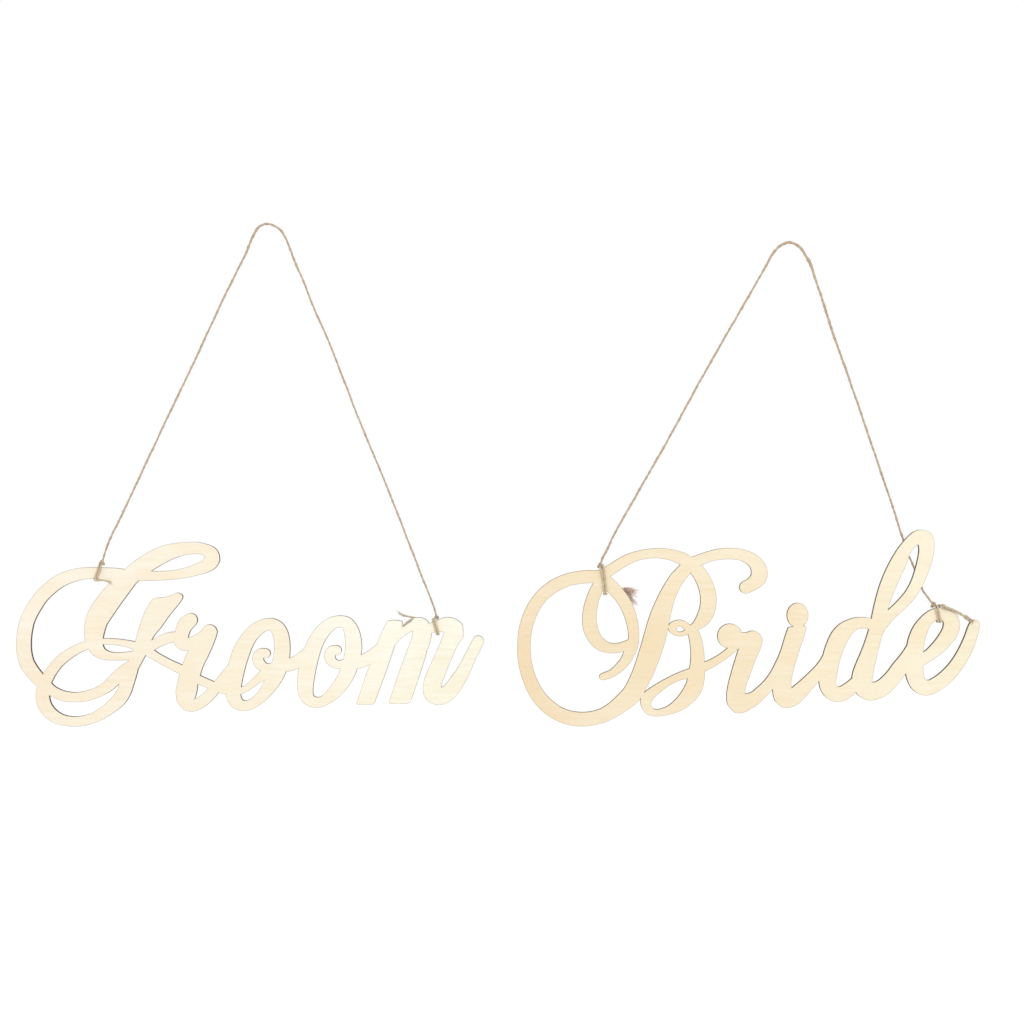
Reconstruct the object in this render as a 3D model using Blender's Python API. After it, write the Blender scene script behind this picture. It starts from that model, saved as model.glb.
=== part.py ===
"""Pair of hanging script-word signs, cut from three-ply board, each on its own loop of twine.

Each word is drawn as pen strokes on a sheet 300 units wide. A stroke is a list of knots, each with a
place across and up the sheet and the pen's width there, and a smooth line runs through them.
"""
import math

import bmesh
import bpy
from mathutils import Matrix, Vector
from mathutils.geometry import delaunay_2d_cdt

# Driving dimensions, in metres
WORD_WIDTH = 0.300  # across one word
WORD_PITCH = 0.320  # from one word's sheet to the next
FACE_PLY = 0.0008  # front and back veneers
CORE_PLY = 0.0012  # middle ply
GLUE_LINE = 0.0001  # between two plies
TWINE = 0.0014  # diameter of the twine
KNOT = 0.0030  # diameter of the knot over a tie
CLEAR = 0.0003  # running gap between twine and anything it meets

DRAWN_WIDTH = 300.0  # sheet units across a word
SHEET = WORD_WIDTH / DRAWN_WIDTH
OUTLINE_TOLERANCE = 0.16  # sheet units that an outline may stray from the pen's true edge
ARC_POINTS = 4  # points where a tie goes round one edge of the board
TWINE_STEP = 9.0  # sheet units between points along the twine, at the most
TAIL_STEP = 2.4  # sheet units between points along a tie's loose tail
HANGING_POINT = (160.6, 322.7)  # sheet place of the first twine's top bend, which is the origin

BOARD = 2.0 * FACE_PLY + CORE_PLY + 2.0 * GLUE_LINE
TWINE_RADIUS = TWINE / 2.0
KNOT_RADIUS = KNOT / 2.0
TURN_PITCH = KNOT_RADIUS + TWINE_RADIUS + CLEAR  # a turn passes beside the knot
OFF_WOOD = TWINE_RADIUS + CLEAR  # a strand's middle from the wood
OFF_KNOT = KNOT_RADIUS + CLEAR  # a strand's end from the knot's middle

ROUND = "round"
CUT = "cut"
RING = "ring"

# Strokes of the first word: (start, end, knots), each knot (across, up, pen width)
GROOM_STROKES = [
    (CUT, CUT, [  # thick stem, top loop, the big C and the middle swash, in one line
        (79, 47, 5.6), (72, 46.2, 5.6), (67, 45.9, 5.1), (61.5, 46.1, 5.3), (56.6, 47.3, 6.8),
        (53, 50.3, 9), (51, 55.5, 11.2), (51, 62, 12.9), (52.9, 69.8, 14.3), (57.2, 76.8, 15),
        (61.2, 82.4, 14.7), (66.3, 88.8, 14.1), (74.2, 97.2, 11.4), (81, 103, 11.2), (88, 107.4, 11.5),
        (96.7, 111.8, 10.5), (106.5, 114.5, 8.5), (112, 115.1, 7.8), (117.5, 115.1, 7.5),
        (122, 114, 7.6), (125.6, 111.5, 9), (126.2, 108, 10), (124, 104.8, 9), (120.9, 103.1, 8),
        (116.1, 101.3, 7.3), (109.5, 99.4, 6.4), (101.7, 98.1, 5.9), (88, 97.4, 6), (75, 97.7, 6.8),
        (65, 98.2, 8.2), (60, 98.3, 8.6), (55, 99, 7.7), (50, 99.3, 7.3), (42.5, 98.7, 7.7),
        (35.2, 96.9, 8.2), (29, 94.2, 8.5), (22.6, 89.5, 8.7), (17, 84, 8.7), (13, 78.2, 8.9),
        (8, 68.3, 9.1), (6.3, 59.8, 9.4), (6, 50, 9.4), (6.8, 45.4, 9.5), (8, 41.3, 9.3),
        (10.7, 37.2, 9.2), (14, 33, 8.6), (19.3, 27.5, 8), (25.7, 22.9, 6.6), (32.5, 20.3, 6.6),
        (38.3, 19.8, 6.3), (44.8, 20.3, 6.6), (53.6, 23.3, 6.9), (58, 25.7, 7.2), (62.5, 29.6, 7.8),
        (66.5, 33.3, 8), (71, 37.5, 7.5), (76, 41.5, 6)]),
    (CUT, CUT, [  # cross swash, lower loop and the right spine, in one line
        (51, 55, 5.4), (45.8, 52.9, 5.6), (41, 51, 5.9), (36.4, 48.4, 6.3), (31.9, 45.4, 6.6),
        (28, 41.9, 6.7), (24.5, 37.7, 6.9), (21.5, 33, 7.3), (18.8, 27, 8.2), (17.9, 20.5, 8.7),
        (19.6, 13.8, 8.7), (22.6, 9.9, 8.2), (26.5, 6.9, 7.6), (31.3, 5.1, 6.7), (36.3, 4.3, 6.4),
        (41.8, 4.4, 6.5), (47, 5.4, 6.6), (52.5, 7.5, 6.9), (57.1, 10.2, 7.4), (61.6, 13.6, 8.2),
        (66.6, 18.2, 8.9), (69.7, 22.8, 9), (71.7, 28.4, 9), (73.4, 33.8, 8.5), (75.3, 39.2, 8),
        (78.3, 45, 8.3), (80.5, 50, 9.2), (82.3, 56.2, 9.5), (84.1, 60.4, 10.3), (87.8, 67.6, 13.4),
        (90, 71.9, 14.5), (93.4, 76.8, 14.7)]),
    (CUT, CUT, [  # bar of the G and the upper link to the r
        (52, 55.5, 3.9), (60, 55.45, 3.9), (65, 55.15, 4.1), (69.7, 54.5, 4.3), (74, 53.6, 4.7),
        (79, 52.2, 5.4), (84, 51.6, 6), (88.4, 52.9, 6.5), (94.2, 56.2, 6.8), (97.5, 57.5, 6.9),
        (101.5, 58.2, 6.8), (106, 58.5, 6.5)]),
    (CUT, CUT, [  # long link under the r, into the first o and on through it
        (82, 51, 5), (87, 48, 5.8), (92.6, 44.6, 5.3), (96.8, 42.4, 5.4), (101.8, 39.9, 5.7),
        (105.8, 37.9, 6), (117.9, 30.9, 5.6), (121.5, 29.3, 5.5), (127, 27, 5.6), (134, 25, 6.5),
        (140, 24, 5.5), (145.6, 24.3, 4.3), (150, 26.7, 4.4), (155, 30.7, 5.2), (158.7, 33.6, 6.6),
        (163, 37, 8), (170, 39.8, 8.2), (176, 40.6, 8.2), (182, 43.3, 8.5), (189, 49, 8.5)]),
    (ROUND, CUT, [  # crown of the r
        (112.6, 69.2, 8.8), (109.3, 66.3, 9.8), (107.4, 61.5, 9), (106.6, 56, 9.4),
        (108.7, 53.9, 8.8), (113, 54.5, 7.5), (118, 57.5, 7), (122.5, 60, 7)]),
    (ROUND, CUT, [  # stem and foot of the r
        (124.6, 61.3, 10), (122.3, 57, 11.5), (118.3, 49.6, 13), (114.7, 42, 12.9), (112, 34.2, 13.1),
        (110.3, 27.2, 12.9), (109.6, 19.5, 12.8), (111.3, 15.6, 9.6), (115, 14.6, 7.8),
        (118.6, 16.3, 7.4), (121, 17.9, 7.4), (123.8, 20.5, 7.5), (126.5, 23.4, 7.2), (130, 27.5, 6.6),
        (134, 32.5, 6.4), (139, 39, 6)]),
    (RING, RING, [  # first o
        (142.3, 40.4, 11), (145.1, 49, 11), (149.5, 57.3, 9.6), (153.1, 61.7, 9.1), (157.1, 64.6, 8.5),
        (160.8, 66.2, 7.8), (164.6, 66.3, 7.9), (167.8, 64.2, 9.2), (170.2, 59.6, 9.9),
        (171.1, 53.8, 10), (170.9, 47, 10.3), (169.8, 41, 10.4), (167.8, 35, 9.9), (164, 28.4, 9.4),
        (161.2, 24.3, 8.3), (157.6, 20, 7.4), (153.3, 16.6, 6.6), (149.2, 14.6, 6.5),
        (145.6, 14.4, 6.9), (143, 15.6, 8), (141.2, 17.6, 8.8), (139.7, 22.2, 9.8), (140, 28, 10.4),
        (141, 34.5, 10.8)]),
    (CUT, ROUND, [  # curl inside the first o
        (166, 38, 6.8), (159.6, 38.8, 6.2), (156.5, 41.8, 7), (155.7, 45.3, 7.2), (157.8, 47.9, 6.4),
        (160.7, 47.8, 6)]),
    (RING, RING, [  # second o
        (186.1, 30, 10.6), (187.2, 37.5, 10.9), (188.9, 44, 10.7), (190.9, 51.1, 10.5),
        (194.1, 57.8, 9.8), (198, 63, 9.2), (201.9, 66.3, 8.3), (205, 67.8, 7.7), (208.8, 68.2, 7.6),
        (212, 67.3, 8.1), (215, 63, 9.4), (216.5, 57, 10.3), (216.7, 50, 10.7), (215.7, 44, 10.6),
        (214.2, 39.4, 10.2), (211.7, 33, 9.9), (209.1, 28.7, 9.5), (206.5, 25.3, 9.2),
        (203.6, 22.1, 8.5), (200.9, 19.7, 7.6), (197.7, 17.6, 6.8), (194.5, 16.5, 6.7),
        (191.2, 16.8, 7), (188.1, 18.6, 8.2), (186.6, 21.3, 9.2), (186, 24.5, 10.2)]),
    (CUT, ROUND, [  # curl inside the second o
        (213, 41.5, 6.8), (206.2, 40.8, 5.5), (202.6, 43, 6.4), (201.5, 46.3, 7.1), (203, 49.4, 6.7),
        (206.1, 49.8, 6.1)]),
    (CUT, CUT, [  # link to the m
        (213, 41.5, 7.5), (218, 41.9, 8), (223, 43.2, 8.1), (228, 45.6, 8.5), (236, 52.5, 8)]),
    (CUT, CUT, [  # first arch of the m
        (240, 53, 5), (246, 60, 5.6), (250.3, 63.6, 6.2), (254.5, 66, 8.5), (259.5, 64.6, 12.2),
        (260.6, 60, 12.4), (257.4, 50, 11.9), (256, 45, 11.9)]),
    (CUT, ROUND, [  # second arch, last stem and the closing curl
        (261, 61.5, 6), (266, 64, 6.5), (270.8, 65.3, 7.4), (276.8, 65.7, 11), (281, 62.6, 13),
        (278.1, 55, 11.1), (274, 45, 11.1), (269.8, 35, 11.4), (267, 27, 11.8), (268, 21.9, 12),
        (271.5, 20.5, 11.4), (276.3, 22, 10.4), (281, 27.3, 10), (284, 31.5, 9.4), (287.2, 36.8, 8.5),
        (290.3, 43.3, 7.7), (293.5, 49.8, 7.5), (296.5, 55.6, 7.2)]),
]

# Flat-cut pieces of the first word: corners as (across, up, rounding)
GROOM_PLATES = [
    [(84, 74, 2), (88.2, 82.8, 2.5), (98, 84.2, 8), (103.5, 86.8, 2.5), (108.3, 85.2, 1.6),
     (106.6, 81.5, 5), (97, 69.5, 1), (90, 66, 2)],  # flag on the spine of the G
    [(218.4, 15.1, 0.5), (229.9, 15.1, 2.2), (248.9, 68.9, 1.6), (238.4, 68.9, 1.6),
     (231.8, 54, 12)],  # first stem of the m
    [(239, 15.7, 0.5), (252.9, 15.7, 3.2), (263.8, 49, 0), (251.4, 51, 0)],  # second stem of the m
]

# Strokes of the second word
BRIDE_STROKES = [
    (ROUND, ROUND, [  # right swash, spine, big C and the loop's right side, in one line
        (147.5, 90.1, 8), (150.7, 91.6, 8.4), (153, 93.4, 9.2), (155.2, 95.4, 10), (156.2, 99.5, 10.5),
        (154.6, 104.5, 9.2), (150.7, 108.2, 8.1), (145.7, 110.6, 7.4), (137, 111.6, 7.2),
        (127.6, 110.7, 6.9), (119.2, 107.9, 6.8), (112, 104.6, 8), (106.3, 98.9, 8.9), (103.7, 96, 9.2),
        (100.3, 90, 10), (97.6, 85, 10.4), (95.3, 79.1, 11.5), (92.4, 70, 13.2), (90.6, 63.1, 13.8),
        (88.8, 56, 14.2), (87, 50.3, 14), (83.3, 39.6, 13.5), (80.9, 33.6, 12.9), (78.4, 28.4, 12.5),
        (74.7, 21.9, 12.4), (68.7, 16.3, 11.3), (62.8, 11.8, 10), (56.8, 8.4, 9.3), (50.9, 6.6, 9),
        (44, 5.7, 9.1), (35.3, 6.5, 9.2), (28.2, 9, 9.1), (22.6, 12.6, 9.3), (16.7, 18.2, 9.3),
        (11.2, 26.8, 9), (8.6, 33.3, 8.7), (6.1, 44.3, 8.6), (5.7, 52, 8.4), (6.2, 60.3, 8.4),
        (8, 68.3, 8.4), (10.8, 75.2, 8.3), (15.2, 82.3, 8.2), (22.4, 89.2, 8.3), (28.3, 92.7, 8.2),
        (35.3, 95.3, 8.1), (45, 96.7, 8.4), (52, 96.8, 8.2), (57.3, 94.4, 8.4), (62.2, 90, 8.3),
        (68, 83.5, 8.1), (70.7, 79.2, 8), (73, 74, 7.7), (74.6, 68.9, 7.5), (75.6, 63.5, 7.2),
        (75.9, 58, 6.8), (75, 52.5, 7.2), (72, 46.2, 7), (70.3, 42.9, 6.4), (67.9, 40, 6),
        (64.5, 36.9, 5.3), (60.9, 34.5, 4.9), (57.3, 33.2, 4.6), (56, 32.8, 4.4)]),
    (CUT, CUT, [  # left side of the loop
        (57, 98, 7.5), (52.2, 88.3, 8), (49.9, 83.3, 8.2), (48.3, 77, 8.8), (47.6, 69.6, 9.2),
        (48.4, 63.4, 9.3), (50.5, 58.4, 8.9), (52.9, 55.4, 8.6), (55.2, 53.3, 7.9), (58.8, 51.7, 6.8),
        (62.5, 51.1, 6.3), (66.3, 51.4, 6.1), (70.5, 52.4, 6.5), (75, 54, 7)]),
    (CUT, CUT, [  # long arch, both bowls and the link through the lower one
        (53, 97.5, 7), (58, 99.2, 7.4), (62.3, 102, 7.2), (66.6, 104.6, 7), (71.4, 107.6, 6.6),
        (80.8, 110.8, 6), (90, 111.9, 6.2), (99.5, 110.9, 7.1), (103.8, 109.7, 7.6), (113, 104.5, 8.6),
        (117.5, 99.5, 9), (121, 93.5, 9.6), (123.4, 86, 10.2), (123.6, 80, 10.2), (122.2, 73.5, 9.8),
        (119.3, 68.8, 8.6), (115.5, 65.2, 5.6), (111, 62.5, 4.6)]),
    (RING, RING, [  # small eye between the bowls
        (100.4, 64.2, 5.4), (104.6, 67.1, 4.4), (108.6, 66, 4.6), (111, 63, 4.4), (107.5, 60.5, 3),
        (103.2, 60.6, 3.2)]),
    (CUT, CUT, [  # lower bowl, its loop and the link to the r
        (112, 65, 5), (114.4, 60, 7.4), (116.1, 53, 8.2), (116.7, 46, 8.7), (116.6, 39, 9.8),
        (115.8, 32.5, 10.8), (114.8, 27.2, 11), (111.7, 21.9, 10.7), (109.5, 19.3, 9.8),
        (107.4, 17.1, 9), (103.3, 14, 7.4), (99.1, 11.8, 5.9), (94.7, 10.3, 4.9), (91, 9.8, 4.5),
        (88, 10.1, 4.8), (85.6, 11.5, 5.8), (83.9, 14.4, 6.4), (84.2, 18.9, 7.8), (87.7, 22.5, 6.2),
        (91, 25, 5.7), (94.2, 27.3, 5.6), (97.6, 29.5, 5), (101.2, 31.3, 5), (105, 33, 5.1),
        (109, 34.3, 5.5), (114, 35.9, 6), (119, 38.2, 5.9), (126.2, 41.9, 4.9), (131.3, 44.8, 4.9),
        (134.3, 47, 4.9), (138.5, 50.2, 5), (142, 54, 6)]),
    (ROUND, CUT, [(137.4, 58.9, 15.9), (143, 56.3, 10.5), (150, 55.3, 12)]),  # ball of the r
    (ROUND, CUT, [  # stem and foot of the r
        (151.6, 55.7, 13.2), (149.6, 50, 12.9), (146.6, 42, 12.3), (144, 34, 11.9), (142, 27, 11.3),
        (141.2, 20.8, 12), (142.6, 15.8, 12.4), (146, 15.9, 11.4), (149.4, 17.4, 10.4),
        (153.4, 19.3, 8.8), (157.3, 22.9, 8), (161.7, 27.2, 7.8), (166, 33, 7.4), (169.5, 40, 7),
        (172, 46, 6.5)]),
    (CUT, CUT, [  # i and the link to the d
        (179.2, 60.5, 11.4), (177.9, 56, 11.4), (175.3, 48, 11.5), (172.8, 40, 11.7), (171, 32, 11.8), (170.8, 25.5, 12.2), (173, 19.4, 13),
        (177.4, 19.8, 11.4), (181.6, 23.2, 9.9), (184.7, 26.3, 9.4), (191.2, 32.9, 8.3),
        (196, 38.5, 7.5), (200, 45, 7)]),
    (CUT, CUT, [  # bowl of the d
        (231, 65.5, 6.5), (226, 67, 7.1), (222, 67.4, 7.1), (218.6, 67.2, 7.3), (214.7, 65.5, 8.6),
        (211, 62.7, 10.4), (207.6, 58.5, 11.4), (205.1, 53.3, 11.5), (203.2, 48, 11.4),
        (201.6, 42.3, 11.4), (200.3, 35, 11.3), (200, 28, 10.9), (201.6, 24.2, 10.3), (205, 21.9, 10),
        (209.3, 22.2, 9.6), (213.4, 24.7, 9.1), (218, 29, 8)]),
    (CUT, CUT, [  # ascender loop, stem and foot of the d
        (231.6, 59.6, 4.6), (233, 62, 5.4), (236.8, 68.9, 6.8), (241.9, 74.3, 6.6), (245.7, 77.8, 6.7), (249.5, 81.6, 7.2),
        (252.3, 84.9, 7.2), (255, 89.3, 7.5), (257.1, 93, 7.9), (259.2, 98.6, 8.2), (261.6, 105.8, 9.1),
        (262.8, 111.2, 9.5), (263.1, 116.3, 10), (262, 120.6, 11), (258.8, 121.9, 10), (254.8, 120.5, 8),
        (252.2, 118, 7.6), (248.4, 112.5, 8.6), (246.1, 107.7, 9.9), (241.2, 97.8, 10.3),
        (237.5, 88.3, 10.2), (235, 80.8, 9.4), (233.5, 75, 9), (231.8, 67, 9), (230.2, 60, 9.4),
        (228.2, 53, 10), (225.6, 45, 11.2), (223.5, 38.5, 12.2), (222, 32, 13.2), (222.8, 26.8, 12.8),
        (226.5, 23.8, 12.1), (231, 24.1, 11.1), (234.8, 25.8, 10.8), (238.4, 28.9, 10.5),
        (242.3, 33.2, 10.3), (245.9, 38.2, 10.2), (250, 44, 9), (255, 51.5, 9)]),
    (CUT, ROUND, [  # the e
        (258, 43, 8), (264, 46.2, 7.4), (267.5, 49, 7.9), (270.9, 52, 8.8), (274.3, 56.2, 9.7),
        (277.3, 60.2, 10.1), (279.2, 66.3, 10.6), (277.2, 71.3, 9.6), (272.5, 73.3, 8.1),
        (267.8, 72.4, 7.6), (262.7, 68.4, 8), (258.8, 62, 9.9), (257.2, 58, 10.3), (255.8, 51, 10.8),
        (255.3, 43, 11), (255.2, 37, 11.5), (256, 33, 11.2), (257.9, 28.6, 10.7), (261.5, 26.1, 10.2),
        (265.8, 26.2, 9.4), (268.5, 27.5, 9.2), (273.2, 30.7, 9.1), (276.9, 34, 8.9),
        (280.7, 38.3, 8.6), (286.4, 46.9, 8.4), (290.9, 56.7, 8), (293.8, 65.9, 6.8)]),
]

# Flat-cut pieces of the second word
BRIDE_PLATES = [
    [(171.2, 53.9, 0), (182, 50.2, 0), (186.9, 65.8, 1.4), (174.6, 64.5, 1.2)],  # top of the i
]

# Dot of the i: centre across and up, half width, half height
BRIDE_DOT = (180.7, 72.2, 6.8, 7.9)


def spline(knots, ring, steps_for):
    """Points and headings of a smooth line through the knots, which all have the same length."""
    count = len(knots)
    rows = [Vector(knot) for knot in knots]

    def chord(a, b):
        return (rows[b].xy - rows[a].xy).length

    def slope(i):
        before = (i - 1) % count if ring or i > 0 else None
        after = (i + 1) % count if ring or i < count - 1 else None
        if before is None:
            return (rows[after] - rows[i]) / chord(i, after)
        if after is None:
            return (rows[i] - rows[before]) / chord(before, i)
        back = chord(before, i)
        ahead = chord(i, after)
        return ((rows[i] - rows[before]) * (ahead / back) + (rows[after] - rows[i]) * (back / ahead)) / (back + ahead)

    slopes = [slope(i) for i in range(count)]
    out = []
    spans = count if ring else count - 1
    for i in range(spans):
        j = (i + 1) % count
        length = chord(i, j)
        turn = slopes[i].xy.angle(slopes[j].xy)
        steps = steps_for(turn, length, rows[i])
        for k in range(steps):
            t = k / steps
            out.append(hermite(rows[i], slopes[i], rows[j], slopes[j], length, t))
    if not ring:
        out.append(hermite(rows[-2], slopes[-2], rows[-1], slopes[-1], chord(count - 2, count - 1), 1.0))
    return out


def hermite(start, start_slope, end, end_slope, length, t):
    """Place and direction at t along one span of a line."""
    a = 2 * t**3 - 3 * t**2 + 1
    b = t**3 - 2 * t**2 + t
    c = -2 * t**3 + 3 * t**2
    d = t**3 - t**2
    place = start * a + start_slope * (b * length) + end * c + end_slope * (d * length)
    along = start * (6 * t**2 - 6 * t) + start_slope * ((3 * t**2 - 4 * t + 1) * length)
    along += end * (6 * t - 6 * t**2) + end_slope * ((3 * t**2 - 2 * t) * length)
    return place, along


def pen_steps(turn, length, knot):
    """How many straight pieces keep the pen's outer edge within tolerance over a turn."""
    if turn < 1e-4:
        return 1
    radius = length / turn + knot[2] / 2.0
    return max(1, math.ceil(turn / (2.0 * math.sqrt(2.0 * OUTLINE_TOLERANCE / radius))))


def disc(x, z, half_width, half_height):
    """Outline of a round or oval dot."""
    radius = max(half_width, half_height)
    sides = max(10, math.ceil(math.pi / math.sqrt(2.0 * OUTLINE_TOLERANCE / radius)))
    turns = [2.0 * math.pi * k / sides for k in range(sides)]
    return [(x + half_width * math.cos(a), z + half_height * math.sin(a)) for a in turns]


def stroke_polygons(start, end, knots):
    """Four-cornered pieces that the pen covers between one place and the next, with its round ends."""
    ring = start == RING
    path = spline(knots, ring, pen_steps)
    edges = []
    for place, along in path:
        across = Vector((-along.y, along.x)).normalized() * (place.z / 2.0)
        edges.append((place.xy + across, place.xy - across))
    pairs = list(zip(edges, edges[1:]))
    if ring:
        pairs.append((edges[-1], edges[0]))
    polygons = []
    for (left, right), (next_left, next_right) in pairs:
        corners = [left, next_left, next_right, right]
        middle = (left + right + next_left + next_right) / 4.0
        corners.sort(key=lambda p: math.atan2(p.y - middle.y, p.x - middle.x))
        polygons.append([tuple(p) for p in corners])
    if start == ROUND:
        x, z, width = knots[0]
        polygons.append(disc(x, z, width / 2.0, width / 2.0))
    if end == ROUND:
        x, z, width = knots[-1]
        polygons.append(disc(x, z, width / 2.0, width / 2.0))
    return polygons


def rounded_plate(corners):
    """Outline of a plate whose corners (across, up, rounding) are rounded by arcs."""
    outline = []
    count = len(corners)
    for i, (x, z, rounding) in enumerate(corners):
        corner = Vector((x, z))
        before = (Vector(corners[i - 1][:2]) - corner).normalized()
        after = (Vector(corners[(i + 1) % count][:2]) - corner).normalized()
        half = before.angle(after) / 2.0
        if rounding <= 0.0 or half > math.radians(89):
            outline.append((x, z))
            continue
        centre = corner + (before + after).normalized() * (rounding / math.sin(half))
        first = corner + before * (rounding / math.tan(half)) - centre
        sweep = math.pi - 2.0 * half
        if before.x * after.y - before.y * after.x > 0.0:
            sweep = -sweep
        steps = max(1, math.ceil(abs(sweep) / (2.0 * math.sqrt(2.0 * OUTLINE_TOLERANCE / rounding))))
        for k in range(steps + 1):
            angle = sweep * k / steps
            turned = Vector((first.x * math.cos(angle) - first.y * math.sin(angle),
                             first.x * math.sin(angle) + first.y * math.cos(angle)))
            outline.append(tuple(centre + turned))
    return outline


def loop_area(loop):
    """Signed area of a closed outline."""
    return sum(a[0] * b[1] - b[0] * a[1] for a, b in zip(loop, loop[1:] + loop[:1])) / 2.0


def thinned(loop):
    """The outline with the points dropped that lie on the line between their neighbours."""
    def keep(points):
        first = Vector(points[0])
        last = Vector(points[-1])
        span = last - first
        worst, index = 0.0, None
        for i in range(1, len(points) - 1):
            reach = Vector(points[i]) - first
            if span.length > 1e-9:
                t = max(0.0, min(1.0, reach.dot(span) / span.length_squared))
                away = (reach - span * t).length
            else:
                away = reach.length
            if away > worst:
                worst, index = away, i
        if index is None or worst < OUTLINE_TOLERANCE:
            return [points[0], points[-1]]
        return keep(points[:index + 1])[:-1] + keep(points[index:])

    lowest = min(range(len(loop)), key=lambda i: loop[i][1])
    turned = loop[lowest:] + loop[:lowest]
    furthest = max(range(len(turned)), key=lambda i: math.dist(turned[i], turned[0]))
    one = keep(turned[:furthest + 1])
    other = keep(turned[furthest:] + turned[:1])
    return one[:-1] + other[:-1]


def word_loops(strokes, plates, dots):
    """Outer outline and holes of a word: everything the pens and plates cover, as one shape."""
    polygons = []
    for start, end, knots in strokes:
        polygons += stroke_polygons(start, end, knots)
    polygons += [rounded_plate(corners) for corners in plates]
    polygons += [disc(*dot) for dot in dots]
    points = []
    faces = []
    for polygon in polygons:
        if loop_area(polygon) < 0.0:
            polygon = polygon[::-1]
        faces.append(list(range(len(points), len(points) + len(polygon))))
        points += [Vector(p) for p in polygon]
    places, _, triangles, _, _, sources = delaunay_2d_cdt(points, [], faces, 0, 1e-4)
    covered = [t for t, source in zip(triangles, sources) if source]
    directed = set()
    for triangle in covered:
        for a, b in zip(triangle, triangle[1:] + triangle[:1]):
            directed.add((a, b))
    follow = {}
    for a, b in sorted(directed):
        if (b, a) not in directed:
            follow.setdefault(a, []).append(b)
    loops = []
    while follow:
        start = min(follow)
        loop = [start]
        here = follow[start].pop(0)
        while here != start:
            loop.append(here)
            here = follow[here].pop(0)
        follow = {a: ends for a, ends in follow.items() if ends}
        outline = [tuple(places[i]) for i in loop]
        if abs(loop_area(outline)) > 0.6:  # a slit that the pens all but close is filled
            loops.append(thinned(outline))
    return sorted(loops, key=lambda loop: -abs(loop_area(loop)))


def material(name, colour, roughness):
    """A plain surface of one colour."""
    made = bpy.data.materials.new(name)
    made.use_nodes = True
    surface = made.node_tree.nodes["Principled BSDF"]
    surface.inputs["Base Color"].default_value = (*colour, 1.0)
    surface.inputs["Roughness"].default_value = roughness
    surface.inputs["Metallic"].default_value = 0.0
    made.diffuse_color = (*colour, 1.0)
    return made


def add_object(name, data, surface):
    """Put a mesh or curve in the scene under its name."""
    made = bpy.data.objects.new(name, data)
    bpy.context.scene.collection.objects.link(made)
    data.materials.append(surface)
    return made


def inside(point, loops):
    """Whether a point is in the material, that is within an odd number of the loops."""
    crossings = 0
    for loop in loops:
        for (ax, az), (bx, bz) in zip(loop, loop[1:] + loop[:1]):
            if (az > point.y) != (bz > point.y) and point.x < ax + (bx - ax) * (point.y - az) / (bz - az):
                crossings += 1
    return crossings % 2 == 1


def ply(name, loops, front, thickness, place, surface, parent):
    """One ply of a word: the outline drawn through a thickness, its front face at front."""
    points = []
    edges = []
    for loop in loops:
        first = len(points)
        points += [Vector(p) for p in loop]
        count = len(loop)
        edges += [(first + i, first + (i + 1) % count) for i in range(count)]
    places, _, triangles, _, _, _ = delaunay_2d_cdt(points, edges, [], 0, 1e-5)
    triangles = [t for t in triangles if inside(sum((places[i] for i in t), Vector((0, 0))) / 3.0, loops)]
    shape = bmesh.new()
    front_row = [shape.verts.new(place(p[0], front, p[1])) for p in places]
    back_row = [shape.verts.new(place(p[0], front + thickness, p[1])) for p in places]
    directed = set()
    for a, b, c in triangles:
        shape.faces.new((front_row[a], front_row[b], front_row[c]))
        shape.faces.new((back_row[c], back_row[b], back_row[a]))
        directed.update(((a, b), (b, c), (c, a)))
    for a, b in sorted(directed):
        if (b, a) not in directed:
            shape.faces.new((front_row[b], front_row[a], back_row[a], back_row[b]))
    bmesh.ops.recalc_face_normals(shape, faces=shape.faces[:])
    mesh = bpy.data.meshes.new(name)
    shape.to_mesh(mesh)
    shape.free()
    mesh.shade_smooth()
    mesh.set_sharp_from_angle(angle=math.radians(35))
    made = add_object(name, mesh, surface)
    seat(made, parent)
    return made


def seat(made, parent):
    """Hang an object from the empty on its joint's axis, leaving it where it is in the world."""
    made.parent = parent
    made.matrix_parent_inverse = Matrix.Translation(-parent.location)


def tube(name, points, radius, sides_level, surface):
    """A round cord along points, with closed ends."""
    data = bpy.data.curves.new(name, "CURVE")
    data.dimensions = "3D"
    data.bevel_depth = radius
    data.bevel_resolution = sides_level
    data.use_fill_caps = True
    line = data.splines.new("POLY")
    line.points.add(len(points) - 1)
    for knot, point in zip(line.points, points):
        knot.co = (*point, 1.0)
    line.use_smooth = True
    return add_object(name, data, surface)


def tail_line(points):
    """Evenly spaced points on a smooth line through a tail's own points, in sheet units."""
    rows = [Vector(p) for p in points]
    slopes = [rows[1] - rows[0]]
    for before, row, after in zip(rows, rows[1:], rows[2:]):
        back = (row - before).length
        ahead = (after - row).length
        slopes.append(((row - before) * (ahead / back) + (after - row) * (back / ahead)) / (back + ahead))
    slopes[0].normalize()
    slopes.append((rows[-1] - rows[-2]).normalized())
    out = []
    for i in range(1, len(rows) - 1):
        length = (rows[i + 1] - rows[i]).length
        steps = max(1, round(length / TAIL_STEP))
        for k in range(1, steps + 1):
            out.append(hermite(rows[i], slopes[i], rows[i + 1], slopes[i + 1], length, k / steps)[0])
    return out


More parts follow.
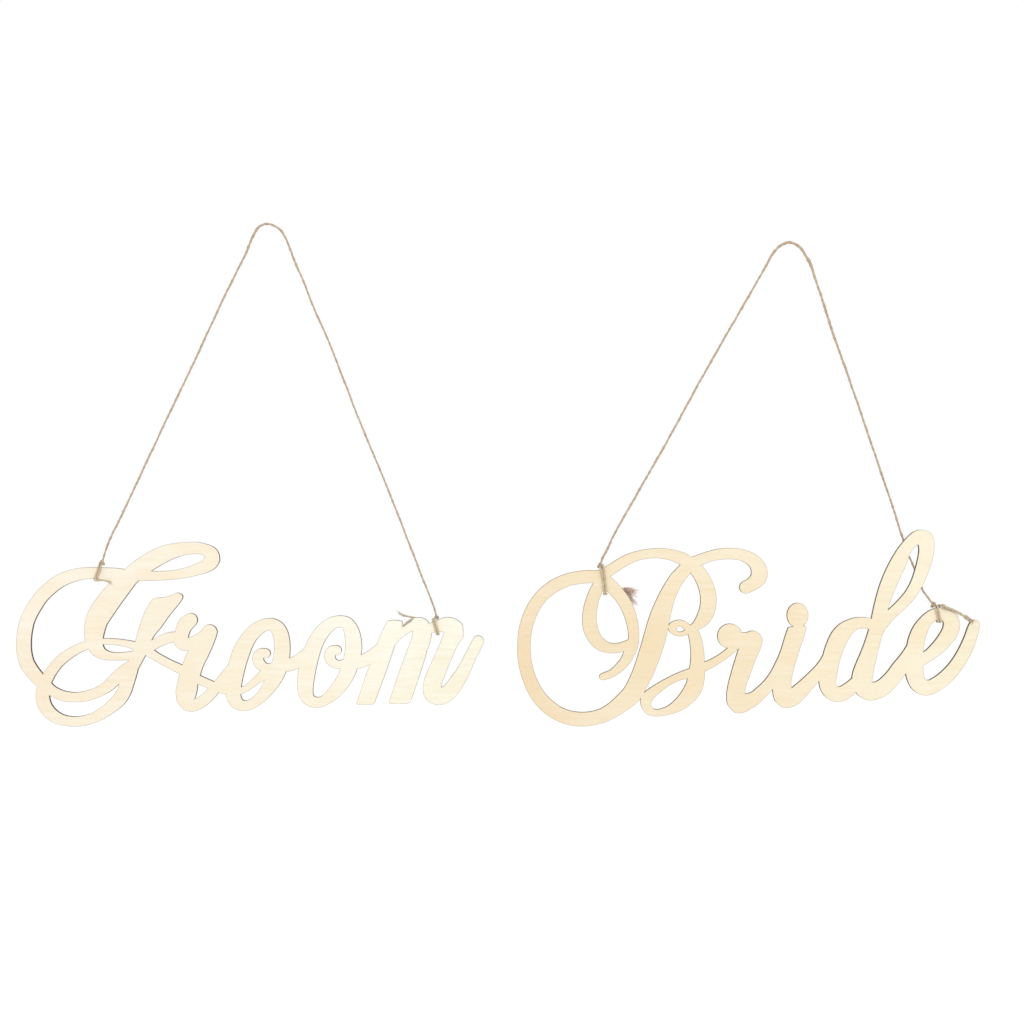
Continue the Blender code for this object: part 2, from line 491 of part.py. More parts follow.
class Tie:
    """A hitch round one stroke of a word: knot, two turns and a loose tail, all in sheet units.

    knot is the place of its middle, across and up, which the tilting axis goes through; strand is
    where the first turn crosses the stroke, lean how far it moves across for each unit up,
    top and bottom the stroke's edges there, side which way the turns move on as they climb the back,
    last how many points round the stroke the winding has, and tail the places the loose end passes.
    """

    def __init__(self, knot, strand, lean, top, bottom, side, last, tail):
        self.knot = Vector((knot[0], 0.0, knot[1]))
        self.strand = strand
        self.lean = lean
        self.top = top
        self.bottom = bottom
        self.side = side
        self.last = last
        self.tail = tail

    def loop(self):
        """One turn as (depth, up): down the front, under, up the back and over, 24 points in all."""
        half = BOARD / 2.0 / SHEET
        off = OFF_WOOD / SHEET

        def arc(y, z, first):
            angles = [math.radians(first + 90.0 * k / (ARC_POINTS - 1)) for k in range(ARC_POINTS)]
            return [(y + off * math.cos(a), z + off * math.sin(a)) for a in angles]

        quarters = [self.bottom + (self.top - self.bottom) * k / 4.0 for k in (1, 2, 3)]
        points = [(-half - off, z) for z in reversed(quarters)]
        points += arc(-half, self.bottom, 180.0)
        points += [(0.0, self.bottom - off)]
        points += arc(half, self.bottom, 270.0)
        points += [(half + off, z) for z in quarters]
        points += arc(half, self.top, 0.0)
        points += [(0.0, self.top + off)]
        points += arc(-half, self.top, 90.0)
        return points

    def line(self):
        """The whole tie from the knot to the tail's end."""
        loop = self.loop()
        middle = (self.top + self.bottom) / 2.0
        turns = []
        for k in range(1, self.last):
            y, z = loop[k % len(loop)]
            moved = k // len(loop) + min(1.0, max(0.0, (k % len(loop) - 10) / 6.0))
            across = self.side * TURN_PITCH / SHEET * moved
            turns.append(Vector((self.strand + self.lean * (z - middle) + across, y, z)))
        start_x = self.strand + self.lean * (self.top - middle)
        out = Vector(((start_x - self.knot.x) * 0.5, -1.0, -0.45)).normalized()
        first = self.knot + out * (OFF_KNOT / SHEET)
        second = first + out * (TWINE / SHEET)
        down = (turns[1] - turns[0]).normalized()
        reach = (turns[0] - second).length
        bend = [hermite(second, out, turns[0], down, reach, k / 4.0)[0] for k in (1, 2, 3)]
        tail = tail_line([turns[-2], turns[-1]] + self.tail)
        return [first, second] + bend + turns + tail


def least_gap(points, radius, skip):
    """Least clear distance between parts of a tube that lie more than skip points apart."""
    finer = []
    for a, b in zip(points, points[1:]):
        finer += [a, a.lerp(b, 0.25), a.lerp(b, 0.5), a.lerp(b, 0.75)]
    finer.append(points[-1])
    least = min((finer[j] - finer[i]).length for i in range(len(finer)) for j in range(i + 4 * skip, len(finer)))
    return least - 2.0 * radius


def tie_objects(prefix, tie, colour, place, parent):
    """Knot and wound strand of one tie."""
    points = [place(*p) for p in tie.line()]
    print(prefix, "least gap of the winding to itself, mm:", round(least_gap(points, TWINE_RADIUS, 9) * 1000, 3))
    strand = tube(prefix + "_tie", points, TWINE_RADIUS, 1, material(prefix + "_tie_fibre", colour, 0.9))
    seat(strand, parent)
    shape = bmesh.new()
    bmesh.ops.create_uvsphere(shape, u_segments=12, v_segments=7, radius=KNOT_RADIUS)
    bmesh.ops.translate(shape, verts=shape.verts[:], vec=place(*tie.knot))
    mesh = bpy.data.meshes.new(prefix + "_knot")
    shape.to_mesh(mesh)
    shape.free()
    mesh.shade_smooth()
    lighter = tuple(min(1.0, c * 1.15) for c in colour)
    seat(add_object(prefix + "_knot", mesh, material(prefix + "_knot_fibre", lighter, 0.9)), parent)


def twine_steps(turn, length, knot):
    """How many straight pieces a span of the twine gets: more in a bend."""
    return max(math.ceil(turn / 0.35), math.ceil(length / TWINE_STEP))


def twine_object(name, route, left, right, colour, place):
    """The hanging loop from one knot to the other, through route points (across, up, depth)."""
    def end(knot, towards):
        here = Vector((knot.x, knot.z, knot.y))
        way = (Vector(towards) - here).normalized()
        return [tuple(here + way * (OFF_KNOT / SHEET)), tuple(here + way * ((OFF_KNOT + TWINE) / SHEET))]

    knots = end(left.knot, route[0]) + route + end(right.knot, route[-1])[::-1]
    line = [place(p.x, p.z, p.y) for p, _ in spline(knots, False, twine_steps)]
    length = sum((b - a).length for a, b in zip(line, line[1:]))
    print(name, "length between the knots, mm:", round(length * 1000, 1), "points:", len(line))
    tube(name, line, TWINE_RADIUS, 2, material(name + "_fibre", colour, 0.9))


GROOM_LEFT = Tie(
    knot=(55.6, 105.6), strand=54.6, lean=0.3, top=102.95, bottom=95.25, side=-1, last=27, tail=[
        (51.2, -3, 95.9), (51.8, -3.9, 94.9), (53.4, -4.4, 94.5), (55.3, -3.9, 94.6), (57, -3.1, 94.6),
        (59.3, -2.8, 94.1), (61.6, -2.9, 93.4)])
GROOM_RIGHT = Tie(
    knot=(269.8, 70.9), strand=270.5, lean=-0.28, top=68.75, bottom=61, side=-1, last=37, tail=[
        (263.8, 2.7, 66.2), (260, 2.7, 68.6), (255.5, 2.7, 70.4), (250, 2, 71.6), (245.5, 1.2, 73.6)])
BRIDE_LEFT = Tie(
    knot=(54.4, 103.9), strand=55.4, lean=-0.12, top=103.25, bottom=86.85, side=1, last=37, tail=[
        (59, 2.7, 92.9), (60.4, 2.9, 93.5), (62.2, 2.9, 92.8), (65.5, 2.7, 90.5),
        (70, 2.4, 88.4), (74.5, 1.8, 85.6), (78.2, 1.2, 83.9)])
BRIDE_RIGHT = Tie(
    knot=(267.9, 78.7), strand=268.9, lean=-0.2, top=77.35, bottom=68.9, side=1, last=43, tail=[
        (273, 0, 78.5), (274, -1.6, 78.5), (276, -2.9, 77.2), (280, -2.8, 75.6), (284, -2.7, 73.4),
        (288.6, -2.6, 70.8), (292.3, -2.6, 67.6)])

# The loops of twine from left knot to right: (across, up, depth) in sheet units
GROOM_ROUTE = [
    (58.2, 113.9, 0), (60.5, 120.3, 0), (66.8, 133.1, 0), (78.8, 158.7, 0), (96.8, 197.1, 0), (115.2, 235.5, 0),
    (127, 261.1, 0), (133, 273.9, 0), (138.9, 286, 0), (143.3, 294.8, 0), (147.4, 302.8, 0), (152.1, 314.2, 0),
    (156.3, 320.9, 0), (160.6, 322.7, 0), (165.4, 321.6, 0), (169.8, 318.7, 0), (172.7, 314.6, 0),
    (174.9, 309.8, 0), (177.3, 303.2, 0), (180.4, 295.2, 0), (184.4, 286.7, 0), (188.9, 274.5, 0),
    (200.4, 248.3, 0), (210.4, 222.7, 0), (220.3, 197.1, 0), (236.3, 158.7, 0), (251.4, 120.3, 0),
    (261.3, 94.7, 0), (266.4, 81.9, 0), (268.6, 75.8, 0)]
BRIDE_ROUTE = [
    (56.4, 109.6, 0), (58, 112.4, 0), (61.7, 120.3, 0), (75.9, 145.9, 0), (97.8, 184.3, 0), (118.8, 222.7, 0),
    (140.7, 261.1, 0), (147.6, 273, 0), (153.1, 282.4, 0), (157.1, 289.7, 0), (161.5, 297.4, 0), (165.6, 304.4, 0),
    (170, 308.8, 0), (175.1, 310.8, 0), (180.3, 309.2, 0), (183.9, 305.9, 0), (186.1, 302.2, 0),
    (189.1, 296.7, 0), (190.9, 291.5, 0), (193.2, 284.5, 0), (195.7, 277.2, 0), (200.7, 261.1, 0),
    (214.1, 222.7, 0), (231.7, 171.5, 0.6), (244.9, 133.1, 2.2), (248.8, 121, 2.7), (252.3, 111, 2.7),
    (255.9, 102.6, 2.7), (260, 91.6, 2.7), (261.8, 87.4, 2.3), (264.2, 83.8, 1.4)]


def build():
    """Empty the scene and make both signs."""
    for old in list(bpy.data.objects):
        bpy.data.objects.remove(old, do_unlink=True)
    words = [
        ("groom", GROOM_STROKES, GROOM_PLATES, [], GROOM_LEFT, GROOM_RIGHT, GROOM_ROUTE, 0.0),
        ("bride", BRIDE_STROKES, BRIDE_PLATES, [BRIDE_DOT], BRIDE_LEFT, BRIDE_RIGHT, BRIDE_ROUTE, WORD_PITCH),
    ]
    fibre = (0.30, 0.215, 0.145)
    for name, strokes, plates, dots, left, right, route, shift in words:
        def place(x, y, z, shift=shift):
            return Vector(((x - HANGING_POINT[0]) * SHEET + shift, y * SHEET,
                           (z - HANGING_POINT[1]) * SHEET + TWINE_RADIUS))

        axis = bpy.data.objects.new(name + "_tilt_axis", None)
        bpy.context.scene.collection.objects.link(axis)
        axis.empty_display_size = 0.01
        axis.location = place(*left.knot)
        print(name, "knots:", [round(c, 5) for c in place(*left.knot)], [round(c, 5) for c in place(*right.knot)])
        loops = word_loops(strokes, plates, dots)
        print(name, "outline points:", sum(len(loop) for loop in loops), "in", len(loops), "loops")
        front = -BOARD / 2.0
        for part, depth, thickness, colour in (
                ("front_veneer", front, FACE_PLY, (0.80, 0.69, 0.52)),
                ("core_ply", front + FACE_PLY + GLUE_LINE, CORE_PLY, (0.42, 0.27, 0.15)),
                ("back_veneer", front + FACE_PLY + CORE_PLY + 2.0 * GLUE_LINE, FACE_PLY, (0.74, 0.61, 0.43))):
            full_name = name + "_" + part
            ply(full_name, loops, depth / SHEET, thickness / SHEET, place,
                material(full_name + "_wood", colour, 0.65), axis)
        tie_objects(name + "_left", left, fibre, place, axis)
        tie_objects(name + "_right", right, fibre, place, axis)
        twine_object(name + "_twine", route, left, right, fibre, place)


build()
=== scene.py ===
"""Dress for a pair of hanging word signs: laser-cut three-ply, burnt edges, jute twine with loose fibres.

Laid out as an add-on and run as a script. Lengths are metres, apart from those on a word's own sheet, which
are millimetres from its lower left corner and are named as such.
"""
import math

import bmesh
import bpy
import numpy as np
from bpy.props import FloatProperty, FloatVectorProperty, IntProperty, PointerProperty
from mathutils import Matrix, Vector
from mathutils.geometry import delaunay_2d_cdt


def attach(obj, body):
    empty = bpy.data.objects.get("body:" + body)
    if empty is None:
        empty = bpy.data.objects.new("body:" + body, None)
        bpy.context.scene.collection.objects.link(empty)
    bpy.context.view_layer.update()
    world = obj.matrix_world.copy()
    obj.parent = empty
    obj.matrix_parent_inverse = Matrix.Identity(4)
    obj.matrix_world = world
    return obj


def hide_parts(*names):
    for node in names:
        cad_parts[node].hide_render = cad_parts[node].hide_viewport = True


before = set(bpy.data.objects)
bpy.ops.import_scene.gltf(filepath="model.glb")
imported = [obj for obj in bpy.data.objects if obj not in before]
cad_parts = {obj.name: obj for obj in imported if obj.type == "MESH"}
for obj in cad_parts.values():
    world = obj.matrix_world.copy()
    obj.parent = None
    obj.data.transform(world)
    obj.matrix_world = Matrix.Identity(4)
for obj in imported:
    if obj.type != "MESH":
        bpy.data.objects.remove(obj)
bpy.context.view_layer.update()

bl_info = {
    "name": "Hanging word signs",
    "version": (1, 0, 0),
    "blender": (4, 5, 0),
    "location": "3D View > Sidebar > Word signs",
    "description": "Builds a pair of laser-cut plywood word signs on jute twine",
    "category": "Object",
}

SHEET = 0.001  # metres in a millimetre of the sheet
TO_SHEET = 1000.0  # millimetres of the sheet in a metre

# Sizes on the sheet, as the part has them
HANGING_POINT = (160.6, 322.7)  # top bend of the first twine, across and up
BOARD = 3.0  # thickness of a board
TWINE = 1.4  # diameter of the twine
KNOT = 3.0  # diameter that the part leaves for a knot
CLEAR = 0.3  # gap between twine and what it meets
TURN_PITCH = KNOT / 2 + TWINE / 2 + CLEAR
OFF_WOOD = TWINE / 2 + CLEAR
OFF_KNOT = KNOT / 2 + CLEAR
ARC_POINTS = 4  # points where a hitch goes round one edge of the board

# Plies, in metres, as the part has them
FACE_PLY = 0.0008
CORE_PLY = 0.0012
PLY_GAP = 0.0001

# What the dress adds on the sheet
INTO_KNOT = 0.9  # how far a twine's end runs on into its knot
BOW = 1.0  # angle times chord, in radians and millimetres, that a span of the outline may bow
FINE_SPAN = 0.9  # span that a smooth outline is divided into
TIGHT_CUTS = 0.93  # share of its width that an inset keeps from every cut

# Twine: shares of its diameter, and how far it varies
STRAND = 0.36  # radius of one strand
APART = 0.115  # a strand's middle from the twine's
UNEVEN = 0.22  # girth
LOOSE = 0.9  # turn of the lay, in radians
LOBE = 0.10  # one strand against the other
TAPER = 0.0008  # length of the rounding at an end, in metres
HELD = 0.004  # length over which an end keeps to its line, in metres

# Stage, in metres
VIEW_WIDTH = 0.65536
VIEW_CENTRE = (0.15748, -0.18376)
VIEW_DISTANCE = 1.2
LAMP_WIDTH = 1.1
FLOOR_WIDTH = 6.0
FLOOR_LEVEL = -0.56
FLOOR_GLOW = 0.42

# Route of each hanging twine, knot to knot: across, up, depth on the sheet
GROOM_ROUTE = [
    (58.2, 113.9, 0), (60.5, 120.3, 0), (66.8, 133.1, 0), (78.8, 158.7, 0), (96.8, 197.1, 0),
    (115.2, 235.5, 0), (127, 261.1, 0), (133, 273.9, 0), (138.9, 286, 0), (143.3, 294.8, 0),
    (147.4, 302.8, 0), (152.1, 314.2, 0), (156.3, 320.9, 0), (160.6, 322.7, 0), (165.4, 321.6, 0),
    (169.8, 318.7, 0), (172.7, 314.6, 0), (174.9, 309.8, 0), (177.3, 303.2, 0), (180.4, 295.2, 0),
    (184.4, 286.7, 0), (188.9, 274.5, 0), (200.4, 248.3, 0), (210.4, 222.7, 0), (220.3, 197.1, 0),
    (236.3, 158.7, 0), (251.4, 120.3, 0), (261.3, 94.7, 0), (266.4, 81.9, 0), (268.6, 75.8, 0)]
BRIDE_ROUTE = [
    (56.4, 109.6, 0), (58, 112.4, 0), (61.7, 120.3, 0), (75.9, 145.9, 0), (97.8, 184.3, 0),
    (118.8, 222.7, 0), (140.7, 261.1, 0), (147.6, 273, 0), (153.1, 282.4, 0), (157.1, 289.7, 0),
    (161.5, 297.4, 0), (165.6, 304.4, 0), (170, 308.8, 0), (175.1, 310.8, 0), (180.3, 309.2, 0),
    (183.9, 305.9, 0), (186.1, 302.2, 0), (189.1, 296.7, 0), (190.9, 291.5, 0), (193.2, 284.5, 0),
    (195.7, 277.2, 0), (200.7, 261.1, 0), (214.1, 222.7, 0), (231.7, 171.5, 0.6), (244.9, 133.1, 2.2),
    (248.8, 121, 2.7), (252.3, 111, 2.7), (255.9, 102.6, 2.7), (260, 91.6, 2.7), (261.8, 87.4, 2.3),
    (264.2, 83.8, 1.4)]

# Each hitch: knot (across, up), strand, lean, top, bottom, side, last point of the winding, and the
# loose tail (across, depth, up), as the part has them
TIES = {
    "groom_left": ((55.6, 105.6), 54.6, 0.3, 102.95, 95.25, -1, 27, [
        (51.2, -3, 95.9), (51.8, -3.9, 94.9), (53.4, -4.4, 94.5), (55.3, -3.9, 94.6), (57, -3.1, 94.6),
        (59.3, -2.8, 94.1), (61.6, -2.9, 93.4)]),
    "groom_right": ((269.8, 70.9), 270.5, -0.28, 68.75, 61, -1, 37, [
        (263.8, 2.7, 66.2), (260, 2.7, 68.6), (255.5, 2.7, 70.4), (250, 2, 71.6), (245.5, 1.2, 73.6)]),
    "bride_left": ((54.4, 103.9), 55.4, -0.12, 103.25, 86.85, 1, 37, [
        (59, 2.7, 92.9), (60.4, 2.9, 93.5), (62.2, 2.9, 92.8), (65.5, 2.7, 90.5),
        (70, 2.4, 88.4), (74.5, 1.8, 85.6), (78.2, 1.2, 83.9)]),
    "bride_right": ((267.9, 78.7), 268.9, -0.2, 77.35, 68.9, 1, 43, [
        (273, 0, 78.5), (274, -1.6, 78.5), (276, -2.9, 77.2), (280, -2.8, 75.6), (284, -2.7, 73.4),
        (288.6, -2.6, 70.8), (292.3, -2.6, 67.6)]),
}
SHIFTS = {"groom": 0.0, "bride": 0.320}  # metres from the first word's sheet to each word's

# How each winding is laid: pitch of its turns and girth of the strand on the sheet, its growth (share of
# the length, share of that girth), and where fibres come loose: (count, length in metres, lift, distance
# from the guide, guide (across, depth, up))
LAID = {
    "groom_left": (1.3, 1.35, ((0, 1), (0.9, 0.95), (1, 1.25)), [
        (50, 0.0020, 0.30, 0.0004, [(59.4, -2.8, 94.1), (61.2, -2.9, 93.5), (61.8, -2.9, 93.3)])]),
    "groom_right": (1.25, 1.3, ((0, 1), (0.55, 1), (0.8, 1.25), (1, 0.9)), [
        (80, 0.0036, 0.10, 0.0003, [(252.5, 2.4, 71.3), (249, 2, 71.9), (246.6, 1.5, 73.2)]),
        (130, 0.0036, 0.03, 0.0001, [(255.6, -2.1, 70.4), (253, -2.1, 68.6), (250, -2, 66.4)])]),
    "bride_left": (1.45, 1.45, ((0, 1), (0.75, 1), (0.9, 0.8), (1, 0.4)), [
        (370, 0.0046, 0.14, 0.0008, [(68.8, 2.5, 89.2), (71.4, 2.4, 88.7), (75.2, 1.9, 87.6)]),
        (310, 0.0046, 0.12, 0.0006, [
            (68.8, 2.6, 88.8), (71.6, 2.5, 86.4), (74.4, 2.2, 83), (75.8, 2.1, 81)]),
        (170, 0.0030, 0.16, 0.0006, [(69.5, 2.5, 88.6), (74.2, 2, 85.8)])]),
    "bride_right": (1.5, 1.4, ((0, 1), (0.52, 1), (0.6, 1.35), (0.72, 1.3), (0.88, 1.42), (1, 1.38)), [
        (260, 0.0024, 0.20, 0.0010, [(286.4, -2.6, 72.1), (289.4, -2.6, 70), (291.4, -2.6, 68.4)]),
        (90, 0.0050, 0.16, 0.0003, [(271.5, -2.3, 77.2), (277, -2.4, 75.8), (283, -2.4, 73.6)])]),
}

# Each knot's size on the sheet, which scales the curve that the knot is tied along
KNOTS = {"groom_left": 0.51, "groom_right": 0.43, "bride_left": 0.49, "bride_right": 0.53}
KNOT_TWINE = 3.1  # diameter of a knot's twine, in those sizes
KNOT_STEPS = 120  # spans of that curve

# Girth of each hanging twine along its length: (share of the length, girth)
GIRTHS = {
    "groom": [(0, 1.08), (0.40, 1.06), (0.43, 1.28), (0.50, 1.16), (0.58, 1.0), (1, 0.98)],
    "bride": [(0, 1.12), (0.44, 1.12), (0.475, 1.45), (0.53, 1.5), (0.56, 1.2), (0.62, 1.35), (0.68, 1.1),
              (1, 1.08)],
}

# Hanging twines: route and real length in metres, seed of their draws
TWINES = {"groom": (GROOM_ROUTE, 0.517, 11), "bride": (BRIDE_ROUTE, 0.491, 12)}


def colour(name, default, text):
    """A colour setting."""
    return FloatVectorProperty(name=name, description=text, subtype="COLOR", size=3, min=0.0, max=1.0,
                               default=[srgb(c) for c in default])


def length(name, default, text):
    """A length setting."""
    return FloatProperty(name=name, description=text, unit="LENGTH", subtype="DISTANCE", min=0.0, max=0.1,
                         precision=5, default=default)


def srgb(value):
    """A screen level from 0 to 255 as the light it stands for."""
    share = value / 255.0
    return share / 12.92 if share <= 0.04045 else ((share + 0.055) / 1.055) ** 2.4


class SignSizes(bpy.types.PropertyGroup):
    """Sizes of what the dress adds to the part."""

    arris: length("Arris", 0.00008, "Width of the burnt bevel along a cut edge")
    scorch: length("Scorch", 0.00045, "How far the laser's scorch fades into the face")
    glue_line: length("Glue line", 0.00005, "Recess left between two plies")
    twist: length("Twist", 0.0078, "Length of one full turn of the twine's two strands")
    fibre: length("Fibre", 0.0032, "Length of a loose fibre on the twine")
    fibres: IntProperty(name="Fibres", description="Loose fibres on one hanging twine", min=0, max=2000,
                        default=420)
    lamp: FloatProperty(name="Lamp", description="Power of the main lamp", unit="POWER", min=0.0, default=7.5)
    ambient: FloatProperty(name="Ambient", description="Light from all round", subtype="FACTOR", min=0.0,
                           max=1.0, default=0.80)


class SignColours(bpy.types.PropertyGroup):
    """Colours of wood, burnt edge and twine."""

    groom_left: colour("First board, left", (255, 247, 230), "Veneer at the first board's left end")
    groom_right: colour("First board, right", (255, 254, 238), "Veneer at the first board's right end")
    bride_left: colour("Second board, left", (248, 231, 200), "Veneer at the second board's left end")
    bride_right: colour("Second board, right", (255, 248, 224), "Veneer at the second board's right end")
    scorched: colour("Scorched face", (144, 122, 110), "Brown line along the cut on a face")
    burnt: colour("Burnt edge", (62, 50, 40), "Deepest burn on a cut edge")
    toasted: colour("Toasted edge", (122, 102, 82), "Lighter streaks on a cut edge")
    jute_pale: colour("Twine, pale", (229, 207, 181), "Pale fibres of the twine")
    jute_dark: colour("Twine, dark", (160, 134, 109), "Shaded and dark fibres of the twine")
    jute_wound: colour("Twine, wound", (240, 219, 186), "Pale fibres where the twine is wound tight")
    jute_tuft: colour("Twine, frayed end", (255, 226, 208), "Rosy fibres of a frayed end")


class SignSettings(bpy.types.PropertyGroup):
    """All settings of the signs."""

    sizes: PointerProperty(type=SignSizes, name="Sizes", description="Sizes of what the dress adds")
    colours: PointerProperty(type=SignColours, name="Colours", description="Colours of wood and twine")


class Value:
    """One socket, so that node maths reads as an expression."""

    def __init__(self, tree, socket):
        self.tree = tree
        self.socket = socket

    def __add__(self, other):
        return self.tree.maths("ADD", self, other)

    def __sub__(self, other):
        return self.tree.maths("SUBTRACT", self, other)

    def __rsub__(self, other):
        return self.tree.maths("SUBTRACT", other, self)

    def __mul__(self, other):
        return self.tree.maths("MULTIPLY", self, other)

    def __rmul__(self, other):
        return self.tree.maths("MULTIPLY", other, self)

    def __pow__(self, other):
        return self.tree.maths("POWER", self, other)

    def __lt__(self, other):
        return self.tree.maths("LESS_THAN", self, other)


class Tree:
    """A node tree that is written as calls."""

    def __init__(self, tree):
        self.tree = tree

    def node(self, kind, settings=None, values=None):
        """One node of a type, its settings first, then its sockets' values or links; gives its outputs."""
        made = self.tree.nodes.new(kind)
        for name, value in (settings or {}).items():
            if name == "stops":
                ramp = made.color_ramp
                for k, (place, shade) in enumerate(value):
                    stop = ramp.elements[k] if k < len(ramp.elements) else ramp.elements.new(place)
                    stop.position = place
                    stop.color = (*shade, 1.0)
            else:
                setattr(made, name, value)
        for key, value in (values or {}).items():
            socket = made.inputs[key]
            if isinstance(value, Value):
                self.tree.links.new(value.socket, socket)
            else:
                socket.default_value = value
        return [Value(self, out) for out in made.outputs]

    def maths(self, operation, *values):
        """One Math node on these values."""
        return self.node("ShaderNodeMath", {"operation": operation}, dict(enumerate(values)))[0]

    def mix(self, share, one, other):
        """A colour between two."""
        return self.node("ShaderNodeMix", {"data_type": "RGBA"}, {0: share, 6: one, 7: other})[2]

    def tinted(self, shade, tint):
        """A colour times another."""
        return self.node("ShaderNodeVectorMath", {"operation": "MULTIPLY"}, {0: shade, 1: tint})[0]

    def noise(self, where, stretch, seed, detail=3.0):
        """Smooth random values, stretched along each axis: features per metre."""
        start = (seed, seed * 0.7, seed * 1.3)
        spread = self.node("ShaderNodeMapping", None, {0: where, 1: start, 3: stretch})[0]
        return self.node("ShaderNodeTexNoise", None, {"Vector": spread, "Scale": 1.0, "Detail": detail})[0]

    def attribute(self, name):
        """A value that the mesh holds at its points."""
        return self.node("ShaderNodeAttribute", {"attribute_type": "GEOMETRY", "attribute_name": name})[2]

    def bump(self, height, strength, distance):
        """A surface direction from a height."""
        return self.node("ShaderNodeBump", None, {"Strength": strength, "Distance": distance,
                                                  "Height": height})[0]

    def ramp(self, value, *stops):
        """A value between two grey levels, as a soft threshold."""
        levels = [(place, (level,) * 3) for place, level in stops]
        return self.node("ShaderNodeValToRGB", {"stops": levels}, {0: value})[0]


def finish_of(name):
    """A fresh material, its tree and its surface shader."""
    made = bpy.data.materials.new(name)
    made.use_nodes = True
    return made, Tree(made.node_tree), made.node_tree.nodes["Principled BSDF"]


def rgba(shade):
    """A colour setting with its fourth number."""
    return (*shade, 1.0)


def grey(level):
    """A grey with its fourth number."""
    return (level, level, level, 1.0)


def darker(shade, share):
    """A colour setting that gives back less light."""
    return [level * share for level in shade]


def connect(tree, value, shader, socket):
    """Lead a value into the surface shader."""
    tree.tree.links.new(value.socket, shader.inputs[socket])


def veneer_finish(name, left, right, scorched, seed, ends):
    """Pale rotary-cut veneer: faint wandering grain, fine pores and the laser's brown line at the edge.

    Its tone changes from one end of the board to the other, and ends holds where these are across.
    """
    made, tree, shader = finish_of(name)
    where = tree.node("ShaderNodeTexCoord")[3]
    across = tree.node("ShaderNodeSeparateXYZ", None, {0: where})[0]
    drifted = tree.node("ShaderNodeMapRange", None, {0: across, 1: ends[0], 2: ends[1]})[0]
    ground = tree.mix(drifted, rgba(left), rgba(right))
    streaks = tree.noise(where, (26.0, 26.0, 620.0), seed)
    figure = tree.noise(where, (14.0, 14.0, 90.0), seed + 3.1, 2.0)
    rings = tree.maths("SINE", figure * 46.0) * 0.5 + 0.5
    specks = tree.noise(where, (170.0, 170.0, 3600.0), seed + 5.7, 2.0)
    pores = tree.ramp(specks, (0.30, 1.0), (0.42, 0.0))
    broad = tree.noise(where, (9.0, 9.0, 16.0), seed + 8.9, 2.0)
    warmth = streaks * 0.55 + rings * 0.15 + broad * 1.5 - 0.65
    warm = tree.tinted(ground, (0.972, 0.925, 0.855))
    face = tree.mix(tree.ramp(warmth, (0.27, 0.0), (0.63, 1.0)), ground, warm)
    rosy = tree.tinted(face, (1.0, 0.965, 0.925))
    patches = tree.noise(where, (22.0, 22.0, 34.0), seed + 11.3)
    face = tree.mix(tree.ramp(patches, (0.40, 0.0), (0.62, 1.0)), face, rosy)
    face = tree.mix(pores * 0.10, face, rgba(darker(left, 0.72)))
    uneven = tree.noise(where, (420.0, 420.0, 420.0), seed + 2.2, 2.0)
    burn = (tree.attribute("scorch") ** 1.6) * (uneven * 0.5 + 0.62)
    face = tree.mix(tree.maths("MINIMUM", burn, 1.0), face, rgba(scorched))
    connect(tree, face, shader, "Base Color")
    connect(tree, streaks * 0.10 + 0.56, shader, "Roughness")
    connect(tree, tree.bump(streaks * 0.6 - pores * 0.5, 0.22, 0.00012), shader, "Normal")
    shader.inputs["Specular IOR Level"].default_value = 0.25
    return made


def burnt_finish(name, burnt, toasted, seed):
    """A laser-cut edge: charred, with fine streaks that run through the ply's thickness."""
    made, tree, shader = finish_of(name)
    where = tree.node("ShaderNodeTexCoord")[3]
    streaks = tree.noise(where, (2600.0, 150.0, 2600.0), seed, 2.0)
    patches = tree.noise(where, (160.0, 900.0, 160.0), seed + 4.4)
    share = tree.ramp(streaks * 0.55 + patches * 0.45, (0.34, 0.0), (0.68, 1.0))
    connect(tree, tree.mix(share, rgba(burnt), rgba(toasted)), shader, "Base Color")
    connect(tree, share * 0.12 + 0.80, shader, "Roughness")
    connect(tree, tree.bump(streaks, 0.5, 0.00015), shader, "Normal")
    shader.inputs["Specular IOR Level"].default_value = 0.15
    return made


def jute_finish(name, pale, dark, seed, laid=True):
    """Jute: uneven tone and fine fibres, which run along a laid strand, and painted shade that darkens the
    grooves in it.
    """
    made, tree, shader = finish_of(name)
    where = tree.node("ShaderNodeTexCoord")[3]
    tone = tree.noise(where, (260.0, 260.0, 260.0), seed)
    if laid:
        along = tree.node("ShaderNodeUVMap", {"uv_map": "strand"})[0]
        fibres = tree.noise(along, (26.0, 1.6, 1.0), seed + 1.5)
        # painted shade: the groove value pulls the colour towards dark in the grooves between the two strands
        share = fibres * 0.7 + tone * 0.6 + tree.attribute("groove") * 0.1 - 0.15
        connect(tree, tree.bump(fibres, 0.7, 0.00018), shader, "Normal")
    else:
        fibres = tree.noise(where, (1500.0, 1500.0, 1500.0), seed + 1.5, 2.0)
        share = fibres * 0.7 + tone * 0.6 - 0.15
    shade = tree.ramp(share, (0.15, 0.0), (0.95, 1.0))
    connect(tree, tree.mix(shade, rgba(pale), rgba(dark)), shader, "Base Color")
    connect(tree, fibres * 0.1 + 0.82, shader, "Roughness")
    shader.inputs["Specular IOR Level"].default_value = 0.2
    return made


def on_sheet(point, shift):
    """A sheet place (across, depth, up) in metres."""
    x, y, z = point
    return Vector(((x - HANGING_POINT[0]) * SHEET + shift, y * SHEET,
                   (z - HANGING_POINT[1]) * SHEET + TWINE / 2 * SHEET))


def hermite(start, start_slope, end, end_slope, chord, t):
    """Place at t along one span of a smooth line."""
    return (start * (2 * t**3 - 3 * t**2 + 1) + start_slope * ((t**3 - 2 * t**2 + t) * chord)
            + end * (3 * t**2 - 2 * t**3) + end_slope * ((t**3 - t**2) * chord))


